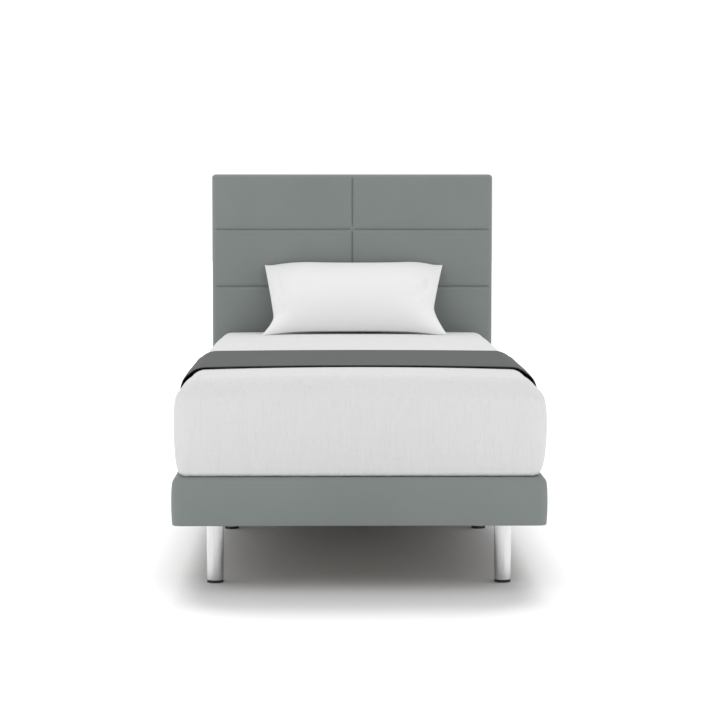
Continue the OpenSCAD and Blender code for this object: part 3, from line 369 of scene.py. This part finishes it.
# after the colour, cloth takes its threads in a metre, variation, sheen and crease strength; metal
# takes its roughness and streaks; paint its roughness, grain scale and grain strength; and wood,
# with a dark and a light colour, its stretch and roughness
finishes = {
    "upholstery_grey": clothMaterial("greyUpholstery", colors["upholstery"], 620, 0.035, 0.12),
    "mattress_white": clothMaterial("mattressSheet", colors["mattress"], 900, 0.008, 0.05, 1.0),
    "runner_grey": clothMaterial("runnerCloth", colors["runner"], 560, 0.05, 0.10),
    "pillow_white": clothMaterial("pillowCotton", colors["pillow"], 900, 0.008, 0.05),
    "back_cloth": clothMaterial("blackBackCloth", (0.012, 0.012, 0.013), 800, 0.2, 0.0),
    "leg_steel": metalMaterial("satinLegSteel", (0.61, 0.61, 0.61), 0.24, alongZ),
    "zinc_steel": metalMaterial("zincSteel", (0.55, 0.56, 0.58), 0.38),
    "painted_steel": paintMaterial("charcoalPaint", (0.012, 0.012, 0.014), 0.42),
    "motor_steel": paintMaterial("motorPaint", (0.06, 0.06, 0.065), 0.35),
    "black_plastic": paintMaterial("blackPlastic", (0.008, 0.008, 0.009), 0.55, 1400.0, 0.3),
    "black_rubber": paintMaterial("blackRubber", (0.006, 0.006, 0.006), 0.8, 700.0, 0.3),
    "white_nylon": paintMaterial("whiteNylon", (0.70, 0.70, 0.66), 0.4),
    "circuit_green": paintMaterial("greenBoard", (0.01, 0.07, 0.03), 0.35),
    "beech": woodMaterial("beechSlat", (0.30, 0.23, 0.16), (0.44, 0.35, 0.26), alongX, 0.4),
    "pine": woodMaterial("pineRail", (0.20, 0.16, 0.12), (0.32, 0.26, 0.20), alongY, 0.6),
    "board": woodMaterial("fibreBoard", (0.24, 0.15, 0.08), (0.36, 0.25, 0.15), (1, 1, 1), 0.8),
    "foam": paintMaterial("creamFoam", (0.72, 0.66, 0.42), 0.95, 500.0, 0.6),
}


# every carried-over node takes the finish of its own material slot
def finishNodes(record):
    for part in record["subparts"]:
        mesh = frame["nodes"][part["node"]].data
        mesh.materials.clear()
        mesh.materials.append(finishes[part["material_slot"]])


finishNodes(frame["record"])
print("materials ready:", len(finishes))

# the padded box on its legs
boxLow, boxHigh = (np.array(corner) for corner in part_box("box_cover"))
boxShape = {"cornerRadius": 0.020, "topRadius": 0.016, "bottomRadius": 0.004, "crown": 0.0022,
            "padding": 0.010, "railThickness": 0.022, "lining": 0.002, "liningDepth": 0.043,
            "flapWidth": 0.020, "flapThickness": 0.003, "liningEdge": 0.0015,
            "leastRadius": 0.0006, "sideSteps": (60, 120), "turnLines": 9, "riseLines": 9}


# a rounded rectangle, drawn in by each inset: straight sides, and corners as quarter circles
def rectanglePath(halfX, halfY, insets, shape):
    rows = []
    for inset in insets:
        r = max(shape["cornerRadius"] - inset, shape["leastRadius"])
        cx, cy = halfX - inset - r, halfY - inset - r
        turn = np.linspace(0, math.pi / 2, shape["turnLines"])
        row = []
        for quarter, (sx, sy) in enumerate(((1, 1), (-1, 1), (-1, -1), (1, -1))):
            angle = turn + quarter * math.pi / 2
            row.append(np.stack([sx * cx + r * np.cos(angle), sy * cy + r * np.sin(angle)], -1))
            nx, ny = ((-1, 1), (-1, -1), (1, -1), (1, 1))[quarter]
            end = np.array([nx * cx + r * math.cos(angle[-1]), ny * cy + r * math.sin(angle[-1])])
            t = np.linspace(0, 1, shape["sideSteps"][quarter % 2] + 1)[1:-1, None]
            row.append(row[-1][-1] * (1 - t) + end * t)
        rows.append(np.concatenate(row))
    return np.stack(rows)


# section of the cover as (inset, height): over the outside, round the top edge, down the lining,
# and back inside against the rail to the flap and the bottom edge
def coverSection(low, high, shape):
    top, bottom = shape["topRadius"], shape["bottomRadius"]
    turn = np.linspace(0, math.pi / 2, shape["turnLines"])
    rise = np.linspace(low + bottom, high - top, shape["riseLines"])[1:-1]
    swell = shape["crown"] * np.sin(math.pi * (rise - low) / (high - low))
    railInset = shape["padding"] + shape["railThickness"]
    liningInset = railInset + shape["lining"]
    liningEnd = high - shape["liningDepth"]
    railTop = high - shape["padding"]
    flapTop = low + shape["flapThickness"]
    parts = [
        np.stack([bottom * (1 - np.sin(turn)), low + bottom * (1 - np.cos(turn))], -1),
        np.stack([-swell, rise], -1),
        np.stack([top * (1 - np.cos(turn)), high - top * (1 - np.sin(turn))], -1),
        np.array([[liningInset - shape["liningEdge"], high],
                  [liningInset, high - shape["liningEdge"]], [liningInset, liningEnd],
                  [railInset, liningEnd], [railInset, railTop], [shape["padding"], railTop],
                  [shape["padding"], flapTop], [shape["flapWidth"], flapTop],
                  [shape["flapWidth"], low]]),
    ]
    return np.concatenate(parts)


# the section carried round the rounded rectangle: a closed tube of quads
def makeBoxCover(shape):
    section = coverSection(boxLow[2], boxHigh[2], shape)
    half = (boxHigh - boxLow) / 2
    middle = (boxHigh + boxLow) / 2
    ring = rectanglePath(half[0], half[1], section[:, 0], shape)
    count, around = ring.shape[:2]
    points = np.concatenate([ring + middle[:2], np.broadcast_to(
        section[:, 1][:, None, None], (count, around, 1))], -1).reshape(-1, 3)
    i, j = np.meshgrid(np.arange(count), np.arange(around), indexing="ij")
    nextI, nextJ = (i + 1) % count, (j + 1) % around
    quads = np.stack([i * around + j, i * around + nextJ, nextI * around + nextJ,
                      nextI * around + j], -1).reshape(-1, 4)
    cover = newPiece("boxCover", points, quads, finishes["upholstery_grey"], "base")
    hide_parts("box_cover")


makeBoxCover(boxShape)
print("box cover ready")

# the quilted headboard; reaches are the distances over which a shape fades
boardLow, boardHigh = (np.array(corner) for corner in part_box("headboard_cover"))
quilt = {"topRow": 0.183, "row": 0.190, "rows": 5, "depth": 0.0075, "reach": 0.013,
         "puff": 0.0025, "puffReach": 0.06, "edgeReach": 0.05, "sidePuff": 0.0022,
         "sideReach": 0.02, "border": 0.009, "borderReach": 0.006, "crossing": 0.010,
         "crossingShare": 0.8, "frontReach": 0.010, "cornerRadius": 0.012, "cornerLines": 5,
         "step": 0.014, "depthStep": 0.012,
         "nearGroove": (0, 0.0006, 0.0014, 0.0026, 0.0045, 0.007, 0.010, 0.013, 0.018)}
grooveHeights = [boardHigh[2] - quilt["topRow"] - i * quilt["row"]
                 for i in range(quilt["rows"] - 1)]


# grid lines that crowd in at each groove
def grooveLines(low, high, grooves, step):
    near = np.array(quilt["nearGroove"])
    extra = np.concatenate([np.concatenate([g - near[:0:-1], g + near]) for g in grooves])
    plain = lines(low, high, step, quilt["cornerRadius"], quilt["cornerLines"])
    keep = [p for p in plain if np.abs(extra - p).min() > step / 3]
    return np.unique(np.concatenate([keep, extra]))


# depth of a seam at a distance from it: two round shoulders that meet in a crease
def seamDepth(distance):
    away = np.clip(1 - np.abs(distance) / quilt["reach"], 0, 1)
    return quilt["depth"] * (1 - np.sqrt(1 - away ** 2))


# the quilted front: seams that fade at the border and where they cross, and a low swell in each
# field between them
def quiltFront(points):
    x, z = points[:, 0], points[:, 2]
    front = smooth((boardLow[1] + quilt["frontReach"] - points[:, 1]) / quilt["frontReach"])
    edge = np.minimum(boardHigh[0] - np.abs(x), np.minimum(boardHigh[2] - z, z - boardLow[2]))
    border = smooth((edge - quilt["border"]) / quilt["borderReach"])
    nearest = np.min([np.abs(z - g) for g in grooveHeights], 0)
    crossX = 1 - quilt["crossingShare"] * np.exp(-(x / quilt["crossing"]) ** 2)
    crossZ = 1 - quilt["crossingShare"] * np.exp(-(nearest / quilt["crossing"]) ** 2)
    seam = np.maximum(seamDepth(nearest) * crossX, seamDepth(x) * crossZ) * border
    swell = quilt["puff"] * smooth(nearest / quilt["puffReach"])
    swell = swell * smooth(np.abs(x) / quilt["puffReach"]) * smooth(edge / quilt["edgeReach"])
    points[:, 1] += front * (seam - swell)
    toSide = smooth((np.abs(x) - boardHigh[0] + quilt["sideReach"]) / quilt["sideReach"])
    points[:, 0] += np.sign(x) * quilt["sidePuff"] * toSide
    return points


# a rounded box with the quilting on its front; one upright seam runs down the middle
def makeHeadboard():
    xs = grooveLines(boardLow[0], boardHigh[0], [0.0], quilt["step"])
    zs = grooveLines(boardLow[2], boardHigh[2], grooveHeights, quilt["step"])
    ys = lines(boardLow[1], boardHigh[1], quilt["depthStep"], quilt["cornerRadius"],
               quilt["cornerLines"])
    points, quads = boxSkin(xs, ys, zs)
    points = roundOff(points, boardLow, boardHigh, np.full(3, quilt["cornerRadius"]))
    cover = newPiece("headboardCover", quiltFront(points), quads, finishes["upholstery_grey"],
                     "base")
    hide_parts("headboard_cover", "headboard_pads")


backCloth = {"inset": 0.012, "staple": 0.06, "pull": 0.0012, "proud": 0.0012, "gap": 0.0002,
             "step": 0.01, "reach": 0.02}


# thin cloth stapled across the back: near its edge it stands off in half waves between the
# staples, and they die away inwards
def makeBackCloth(values):
    low, high = (np.array(corner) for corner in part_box("headboard_back_cloth"))
    inset = np.array([values["inset"], 0, values["inset"]])
    low, high = low + inset, high - inset
    xs, zs = lines(low[0], high[0], values["step"]), lines(low[2], high[2], values["step"])
    ys = boardHigh[1] + np.array([values["gap"], values["proud"]])
    points, quads = boxSkin(xs, ys, zs)
    toSide = np.minimum(points[:, 0] - low[0], high[0] - points[:, 0])
    toEnd = np.minimum(points[:, 2] - low[2], high[2] - points[:, 2])
    along = np.where(toSide < toEnd, points[:, 2], points[:, 0])
    fade = np.exp(-np.minimum(toSide, toEnd) / values["reach"])
    wave = 0.5 + 0.5 * np.cos(2 * math.pi * along / values["staple"])
    points[:, 1] += values["pull"] * fade * wave
    cloth = newPiece("headboardBackCloth", points, quads, finishes["back_cloth"], "base")
    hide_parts("headboard_back_cloth")


makeHeadboard()
makeBackCloth(backCloth)
print("headboard ready")

# the mattress, in three stretches from head to foot
mattressLow = np.array(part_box("mattress_calf")[0])
mattressHigh = np.array(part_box("mattress_back")[1])
seatEnds = [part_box("mattress_seat")[0][1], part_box("mattress_seat")[1][1]]
thighEnds = [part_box("mattress_thigh")[0][1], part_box("mattress_thigh")[1][1]]
padding = {"side": 0.052, "top": 0.058, "bottom": 0.012, "sideGrowth": 0.4, "bulgeLeft": 0.0040,
           "bulgeRight": 0.0095, "waistTop": 0.013, "waistBottom": 0.017, "crown": 0.004,
           "crownFrom": 0.4, "footDroop": 0.006, "droopFrom": -0.45, "droopOver": 0.4,
           "endBulge": 0.006, "ripple": 0.0006, "rippleFade": 1.2, "sidePower": 10,
           "endPower": 60, "step": 0.012}
ripplePaces = ((171, 1.3, 1.0), (97, 0.4, 1.0), (263, 2.1, 0.6))  # radians in a metre, start, share
padLines = {"side": 6, "bottom": 6, "wall": 13, "top": 7, "end": 7}
folds = {"backLength": 0.41, "margin": 0.01, "kneeLength": 0.20, "seatShare": 0.40,
         "thighShare": 0.45, "nearCut": 0.0004, "tuck": 0.0006, "lipDraw": (0.0012, 0, 0.004)}
seatCut = seatEnds[0] + folds["seatShare"] * (seatEnds[1] - seatEnds[0])
thighCut = thighEnds[0] + folds["thighShare"] * (thighEnds[1] - thighEnds[0])


# fine upright ripples: three sines of unlike length along the edge, growing towards the floor
def ripples(along, height):
    waves = sum(share * np.sin(along * pace + start) for pace, start, share in ripplePaces)
    return padding["ripple"] * waves * (padding["rippleFade"] - height)


# a block with soft round edges: its sides swell as a parabola up the height, less a waist that
# grows as the cube of the distance from mid height; its top falls as a parabola across, and more
# at the foot; and its upright faces carry fine ripples
def mattressShape(points):
    height = np.clip((points[:, 2] - mattressLow[2]) / (mattressHigh[2] - mattressLow[2]), 0, 1)
    growth = smooth(height / padding["sideGrowth"])
    side = padding["bottom"] + (padding["side"] - padding["bottom"]) * growth
    rise = np.where(height > 0.5, padding["top"], padding["bottom"])
    shaped = roundOff(points, mattressLow, mattressHigh, np.stack([side, side, rise], -1))
    middle = (mattressLow + mattressHigh) / 2
    half = (mattressHigh - mattressLow) / 2
    across = (shaped[:, 0] - middle[0]) / half[0]
    along = (shaped[:, 1] - middle[1]) / half[1]
    swell = 1 - (2 * height - 1) ** 2
    edgeX, edgeY = np.abs(across) ** padding["sidePower"], np.abs(along) ** padding["endPower"]
    bulge = np.where(across < 0, padding["bulgeLeft"], padding["bulgeRight"]) * swell
    waist = np.where(height > 0.5, padding["waistTop"], padding["waistBottom"])
    waist = waist * np.abs(2 * height - 1) ** 3
    shaped[:, 0] += np.sign(across) * np.abs(across) ** 3 * (bulge - waist)
    shaped[:, 0] += np.sign(across) * edgeX * ripples(shaped[:, 1], height)
    shaped[:, 1] += np.sign(along) * edgeY * (padding["endBulge"] * swell * (1 - across ** 4)
                                              + ripples(shaped[:, 0], height))
    atFoot = smooth((padding["droopFrom"] - along) / padding["droopOver"])
    droop = padding["crown"] + padding["footDroop"] * atFoot
    atTop = smooth((height - padding["crownFrom"]) / (1 - padding["crownFrom"]))
    shaped[:, 2] -= droop * across ** 2 * atTop
    return shaped


# grid lines of one stretch along the bed: closer at a rounded end and beside a cut, with one more
# past the cut for the lip
def stretchLines(fromY, toY):
    edge, step = padding["side"], padding["step"]
    ys = lines(fromY, toY, step)
    if fromY == mattressLow[1]:
        rounded = np.linspace(fromY, fromY + edge, padLines["end"])
        ys = np.concatenate([rounded[:-1], lines(fromY + edge, toY, step)])
    if toY == mattressHigh[1]:
        rounded = np.linspace(toY - edge, toY, padLines["end"])
        ys = np.concatenate([lines(fromY, toY - edge, step), rounded[1:]])
    near, tuck = folds["nearCut"], folds["tuck"]
    if fromY > mattressLow[1]:
        ys = np.concatenate([[fromY, fromY + near], ys[1:]])
    if toY < mattressHigh[1]:
        ys = np.concatenate([ys[:-1], [toY - near, toY, toY + tuck]])
    return ys


# grid lines up the mattress: close together round both edges
def wallLines():
    bottom, top = mattressLow[2] + padding["bottom"], mattressHigh[2] - padding["top"]
    wallTop = mattressHigh[2] - padding["side"]
    zs = np.concatenate([np.linspace(mattressLow[2], bottom, padLines["bottom"], endpoint=False),
                         np.linspace(bottom, wallTop, padLines["wall"], endpoint=False),
                         np.linspace(top, mattressHigh[2], padLines["top"])])
    return np.unique(zs.round(6))


# one stretch of the mattress; both of its cuts lie where it is stiff, and the lip at one cut is
# drawn in a little and tucked just under the next stretch
def mattressStretch(name, fromY, toY, replaced, bodies, start, end):
    tuck = folds["tuck"]
    xs = lines(mattressLow[0], mattressHigh[0], padding["step"], padding["side"], padLines["side"])
    points, quads = boxSkin(xs, stretchLines(fromY, toY), wallLines())
    shaped = mattressShape(points)
    if toY < mattressHigh[1]:
        lip = points[:, 1] > toY + tuck / 2
        middle = (mattressLow + mattressHigh) / 2
        shaped[lip] += (middle - shaped[lip]) * folds["lipDraw"]
    piece = newPiece(name, shaped, quads, finishes["mattress_white"], flatAt=(fromY, toY + tuck))
    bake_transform(piece)
    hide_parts(*replaced)


# where each fold starts and ends along the bed
foldSpans = {
    "back": (seatCut + folds["margin"], seatCut + folds["margin"] + folds["backLength"]),
    "hip": (seatCut - folds["margin"], thighCut + folds["margin"]),
    "knee": (thighCut - folds["margin"], thighEnds[0] - folds["kneeLength"]),
}
mattressStretch("mattressHeadStretch", seatCut, mattressHigh[1], ["mattress_back"],
                ("base", "back_section"), *foldSpans["back"])
mattressStretch("mattressMiddleStretch", thighCut, seatCut, ["mattress_seat", "mattress_thigh"],
                ("base", "thigh_section"), *foldSpans["hip"])
mattressStretch("mattressFootStretch", mattressLow[1], thighCut, ["mattress_calf"],
                ("thigh_section", "calf_section"), *foldSpans["knee"])
print("mattress ready")

# the bed runner, in two stretches; drop is how far it hangs at the sides, and the counts of lines
# say how fine its grid is
runnerCloth = {"drop": 0.180, "clear": 0.0006, "thickness": 0.0018, "hem": 0.0006,
               "hemWidth": 0.016, "hemFade": 0.002, "stitch": 0.0006, "stitchInset": 0.003,
               "stitchReach": 0.0012, "standOff": 0.0080, "shoulderAt": 0.14,
               "shoulderReach": 0.13, "wave": 0.0035, "step": 0.012, "nearHem": 0.030,
               "farHem": 0.010, "fineWidth": 0.024, "fineLines": 13, "plainFrom": 0.030,
               "wallLines": 13, "shoulderLines": 8, "sideLines": 7}
runnerPaces = ((0.3, 38, 0.8), (0.2, 61, 2.0))  # share, radians in a metre, start
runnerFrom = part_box("runner_calf")[0][1] + runnerCloth["nearHem"]
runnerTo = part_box("runner_thigh")[1][1] - runnerCloth["farHem"]


# grid lines of one stretch: along the bed, closer together at a hem, and the section across it,
# which goes up one side, over the top and down the other
def runnerLines(fromY, toY, cloth):
    ys = lines(fromY, toY, cloth["step"])
    fine = np.linspace(0, cloth["fineWidth"], cloth["fineLines"])
    if fromY == runnerFrom:
        ys = np.unique(np.concatenate([ys[ys > fromY + cloth["plainFrom"]], fromY + fine]))
    if toY == runnerTo:
        ys = np.unique(np.concatenate([ys[ys < toY - cloth["plainFrom"]], toY - fine]))
    ys = np.unique(np.concatenate([ys, [fromY + folds["nearCut"], toY - folds["nearCut"]]]))
    bottom, shoulder = mattressHigh[2] - cloth["drop"], mattressHigh[2] - padding["top"]
    rise = np.concatenate([np.linspace(bottom, shoulder, cloth["wallLines"])[:-1],
                           np.linspace(shoulder, mattressHigh[2], cloth["shoulderLines"])])
    over = lines(mattressLow[0], mattressHigh[0], cloth["step"], padding["side"],
                 cloth["sideLines"])[1:-1]
    sectionX = np.concatenate([np.full(len(rise), mattressLow[0]), over,
                               np.full(len(rise), mattressHigh[0])])
    sectionZ = np.concatenate([rise, np.full(len(over), mattressHigh[2]), rise[::-1]])
    return ys, sectionX, sectionZ


# outer and inner face of the cloth: it lies on the mattress's own surface, a little off it, stands
# off round the shoulders, and hangs in low waves; its hems are thicker, with a stitched line
def runnerFaces(surface, cloth):
    outward = np.cross(np.gradient(surface, axis=0), np.gradient(surface, axis=1))
    outward /= np.linalg.norm(outward, axis=-1, keepdims=True)
    below = (mattressHigh[2] - surface[:, :, 2]) / cloth["drop"]
    shoulder = np.exp(-((below - cloth["shoulderAt"]) / cloth["shoulderReach"]) ** 2)
    y = surface[:, :, 1]
    waves = sum((share * np.sin(y * pace + start) for share, pace, start in runnerPaces), 0.5)
    lift = cloth["clear"] + cloth["standOff"] * shoulder
    lift = lift + cloth["wave"] * waves * smooth(below) ** 2
    toEdge = np.minimum(y - runnerFrom, runnerTo - y)
    toEdge = np.minimum(toEdge, (1 - np.clip(below, 0, 1)) * cloth["drop"])
    pastHem = toEdge - cloth["hemWidth"]
    thick = cloth["thickness"] + cloth["hem"] * (1 - smooth(pastHem / cloth["hemFade"]))
    stitch = (pastHem + cloth["stitchInset"]) / cloth["stitchReach"]
    thick -= cloth["stitch"] * np.exp(-stitch ** 2)
    inner = surface + outward * lift[..., None]
    return inner + outward * thick[..., None], inner


# quads of a thin closed cloth whose two faces are grids, the outer one first, with a rim between
def clothQuads(across, along):
    i, j = np.meshgrid(np.arange(across - 1), np.arange(along - 1), indexing="ij")
    a = (i * along + j).ravel()
    b, c, d = a + 1, a + along + 1, a + along
    top = np.stack([a, d, c, b], -1)
    count = across * along
    rim = np.concatenate([np.arange(along), np.arange(1, across) * along + along - 1,
                          (across - 1) * along + np.arange(along - 2, -1, -1),
                          np.arange(across - 2, -1, -1) * along])
    side = np.stack([rim[:-1], rim[1:], rim[1:] + count, rim[:-1] + count], -1)
    return np.concatenate([top, top[:, ::-1] + count, side])


# one stretch of the runner, laid on the mattress's own shape; its width is measured on the cloth
def makeRunner(name, fromY, toY, replaced):
    ys, sectionX, sectionZ = runnerLines(fromY, toY, runnerCloth)
    across, along = len(sectionX), len(ys)
    flat = np.stack([np.repeat(sectionX, along), np.tile(ys, across),
                     np.repeat(sectionZ, along)], -1)
    outer, inner = runnerFaces(mattressShape(flat).reshape(across, along, 3), runnerCloth)
    points = np.concatenate([outer.reshape(-1, 3), inner.reshape(-1, 3)])
    cuts = [cut for cut in (fromY, toY) if runnerFrom < cut < runnerTo]
    piece = newPiece(name, points, clothQuads(across, along), finishes["runner_grey"],
                     flatAt=cuts)
    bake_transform(piece)
    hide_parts(*replaced)


makeRunner("runnerHeadStretch", thighCut, runnerTo, ["runner_thigh"])
makeRunner("runnerFootStretch", runnerFrom, thighCut, ["runner_calf"])
print("runner ready")

# the pillow: half widths in metres; places on it run from -1 to 1, across and from its lower edge
# up, and lean is in degrees
pillowShape = {"left": {"top": 0.292, "waist": 0.259, "tip": 0.2955, "waistAt": -0.54},
               "right": {"top": 0.301, "waist": 0.2665, "tip": 0.306, "waistAt": -0.28},
               "length": 0.300, "thickness": 0.125, "lean": 47.0, "tipForward": 0.030,
               "tipFrom": 0.18, "tipOver": 0.12, "tipHeight": 0.09, "dip": 0.009, "dipFrom": 0.1,
               "lift": 0.010, "liftHalfWidth": 0.27, "restHalfWidth": 0.46, "restGap": 0.0006,
               "clear": 0.0002, "backGap": 0.002, "footing": 0.006, "taper": 1.15, "flare": 1.4,
               "fullAcross": 0.7, "fullAlong": 0.62, "across": 72, "along": 40}
pillowHumps = ((0.006, 0.72, 0.2), (0.003, -0.62, 0.25))  # height, place and reach
# hollows in the filling: place and reach in the two directions of the pillow, and depth
pillowHollows = [(0.86, 0.20, 0.035, 0.24, 0.55), (0.80, -0.12, 0.05, 0.20, 0.22),
                 (-0.87, 0.15, 0.035, 0.60, 0.35), (-0.90, -0.50, 0.05, 0.20, 0.20),
                 (0.10, 0.55, 0.45, 0.16, 0.05)]
pillowFilling = {"steps": 12, "pressure": 2.0, "cap": 0.005, "quality": 5, "stiffness": 15,
                 "bending": 0.05}


# half width along the pillow: nearly straight from the top corners in to the waist, then a flare
# out to the lower tips; the two sides differ
def pillowHalfWidth(u, v, shape):
    widths = []
    for side in (shape["left"], shape["right"]):
        up = np.clip((v - side["waistAt"]) / (1 - side["waistAt"]), 0, 1)
        down = np.clip((side["waistAt"] - v) / (1 + side["waistAt"]), 0, 1)
        widths.append(side["waist"] + (side["top"] - side["waist"]) * up ** shape["taper"]
                      + (side["tip"] - side["waist"]) * down ** shape["flare"])
    return np.where(u < 0, *widths)


# two panels sewn round the rim: thickness falls to nothing at the seam, less the hollows; the top
# edge dips in the middle and rises in two humps
def pillowPanel(u, v, face, shape):
    x = u * pillowHalfWidth(u, v, shape)
    humps = sum(height * np.exp(-((u - at) / reach) ** 2) for height, at, reach in pillowHumps)
    y = v * shape["length"] / 2
    upper = smooth((v - shape["dipFrom"]) / (1 - shape["dipFrom"]))
    y += upper * (humps - shape["dip"] * (1 - u ** 2))
    full = (1 - u ** 4) ** shape["fullAcross"] * (1 - v ** 2) ** shape["fullAlong"]
    for atU, atV, reachU, reachV, depth in pillowHollows:
        full = full * (1 - depth * np.exp(-((u - atU) / reachU) ** 2 - ((v - atV) / reachV) ** 2))
    z = face * shape["thickness"] / 2 * full
    return np.stack([x, y, z], -1)


# both panels on one grid that crowds in towards the rim, with the rim's points shared; also gives
# the numbers of the sewn points
def pillowMesh(shape):
    su = np.sin(np.linspace(-math.pi / 2, math.pi / 2, shape["across"]))
    sv = np.sin(np.linspace(-math.pi / 2, math.pi / 2, shape["along"]))
    u, v = np.meshgrid(su, sv, indexing="ij")
    nu, nv = u.shape
    top = pillowPanel(u, v, 1, shape).reshape(-1, 3)
    under = pillowPanel(u, v, -1, shape).reshape(-1, 3)
    ids = np.arange(nu * nv).reshape(nu, nv)
    lower = ids + nu * nv
    lower[0, :], lower[-1, :], lower[:, 0], lower[:, -1] = ids[0], ids[-1], ids[:, 0], ids[:, -1]
    over = np.stack([ids[:-1, :-1], ids[1:, :-1], ids[1:, 1:], ids[:-1, 1:]], -1).reshape(-1, 4)
    back = np.stack([lower[:-1, :-1], lower[:-1, 1:], lower[1:, 1:], lower[1:, :-1]], -1)
    quads = np.concatenate([over, back.reshape(-1, 4)])
    used, quads = np.unique(quads, return_inverse=True)
    sewn = np.isin(used, np.concatenate([ids[0], ids[-1], ids[:, 0], ids[:, -1]]))
    return np.concatenate([top, under])[used], quads.reshape(-1, 4), np.flatnonzero(sewn)


# the cover is filled by cloth simulation, with its sewn rim held: pressure for a few steps, then
# each point's move is held to a cap
def fillByCloth(points, quads, sewn, filling):
    mesh = bpy.data.meshes.new("pillowTrial")
    mesh.from_pydata(points.tolist(), [], quads.tolist())
    trial = bpy.data.objects.new("pillowTrial", mesh)
    bpy.context.scene.collection.objects.link(trial)
    trial.vertex_groups.new(name="sewn").add(sewn.tolist(), 1.0, "REPLACE")
    cloth = trial.modifiers.new("fill", "CLOTH").settings
    cloth.vertex_group_mass = "sewn"
    cloth.quality = filling["quality"]
    cloth.use_pressure = True
    cloth.uniform_pressure_force = filling["pressure"]
    cloth.tension_stiffness = filling["stiffness"]
    cloth.compression_stiffness = filling["stiffness"]
    cloth.bending_stiffness = filling["bending"]
    cloth.effector_weights.gravity = 0
    for step in range(1, filling["steps"] + 1):
        bpy.context.scene.frame_set(step)
    filled = trial.evaluated_get(bpy.context.evaluated_depsgraph_get()).data
    moved = np.empty(len(filled.vertices) * 3)
    filled.vertices.foreach_get("co", moved)
    move = moved.reshape(-1, 3) - points
    length = np.linalg.norm(move, axis=1, keepdims=True)
    bpy.data.objects.remove(trial)
    bpy.context.scene.frame_set(1)
    return points + move * np.minimum(1, filling["cap"] / np.maximum(length, tiny))


# leans the filled pillow on the headboard; the lower corners reach forward and lie down
def placePillow(points, shape):
    up = points[:, 1] + shape["length"] / 2
    lean = math.radians(shape["lean"])
    y = up * math.cos(lean) - points[:, 2] * math.sin(lean)
    z = up * math.sin(lean) + points[:, 2] * math.cos(lean)
    fromMiddle = np.abs(points[:, 0])
    tip = smooth((fromMiddle - shape["tipFrom"]) / shape["tipOver"])
    y -= shape["tipForward"] * (tip * smooth(1 - up / shape["tipHeight"]))
    fall = padding["crown"] * (points[:, 0] / shape["restHalfWidth"]) ** 2
    ground = mattressHigh[2] + shape["restGap"] - fall
    z += shape["lift"] * (1 - np.clip(fromMiddle / shape["liftHalfWidth"], 0, 1) ** 4)
    z = ground + np.maximum(z, 0.0) + shape["clear"]
    back = boardLow[1] - quilt["puff"] - shape["backGap"]
    far = back - (shape["length"] * math.cos(lean) + shape["footing"])
    y = np.minimum(far + y, back)
    return np.stack([points[:, 0], y, z], -1)


# the pillow is smoothed once and rides the back section
def makePillow(shape):
    points, quads, sewn = pillowMesh(shape)
    points = fillByCloth(points, quads, sewn, pillowFilling)
    pillow = newPiece("filledPillow", placePillow(points, shape), quads, finishes["pillow_white"])
    softened = pillow.modifiers.new("soften", "SUBSURF")
    softened.levels = softened.render_levels = 1
    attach(pillow, "back_section")
    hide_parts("pillow")


makePillow(pillowShape)
print("pillow ready")


# a plain square under the bed, a hair below its feet, faintly clouded
def makeFloor(values):
    half = values["floorSize"] / 2
    corners = np.array([[-half, -half, 0], [half, -half, 0], [half, half, 0], [-half, half, 0]])
    corners[:, 2] = cadBounds[0][2] - values["floorGap"]
    material, tree, shader, place = newMaterial("paleFloor", values["floorRoughness"],
                                                specular=values["floorSpecular"])
    light = values["floorColor"]
    cloud = addNoise(tree, place, values["floorCloud"])
    addColors(tree, shader, cloud, (light * values["floorShade"],) * 3, (light,) * 3)
    floor = newPiece("floor", corners, np.array([[0, 1, 2, 3]]), material)
    return floor


# a broad soft sun from over the headboard; it falls on the floor alone, which keeps the floor
# pale and draws the bed's shadow forward
def makeFloorSun(values, floor):
    light = bpy.data.lights.new("floorSun", "SUN")
    light.energy = values["strength"]
    light.angle = math.radians(values["spread"])
    sun = bpy.data.objects.new("floorSun", light)
    sun.rotation_euler = (math.radians(values["height"] - 90), 0, 0)
    bpy.context.scene.collection.objects.link(sun)
    lit = bpy.data.collections.new("floorOnly")
    lit.objects.link(floor)
    sun.light_linking.receiver_collection = lit


makeFloorSun(floorSun, makeFloor(studio))
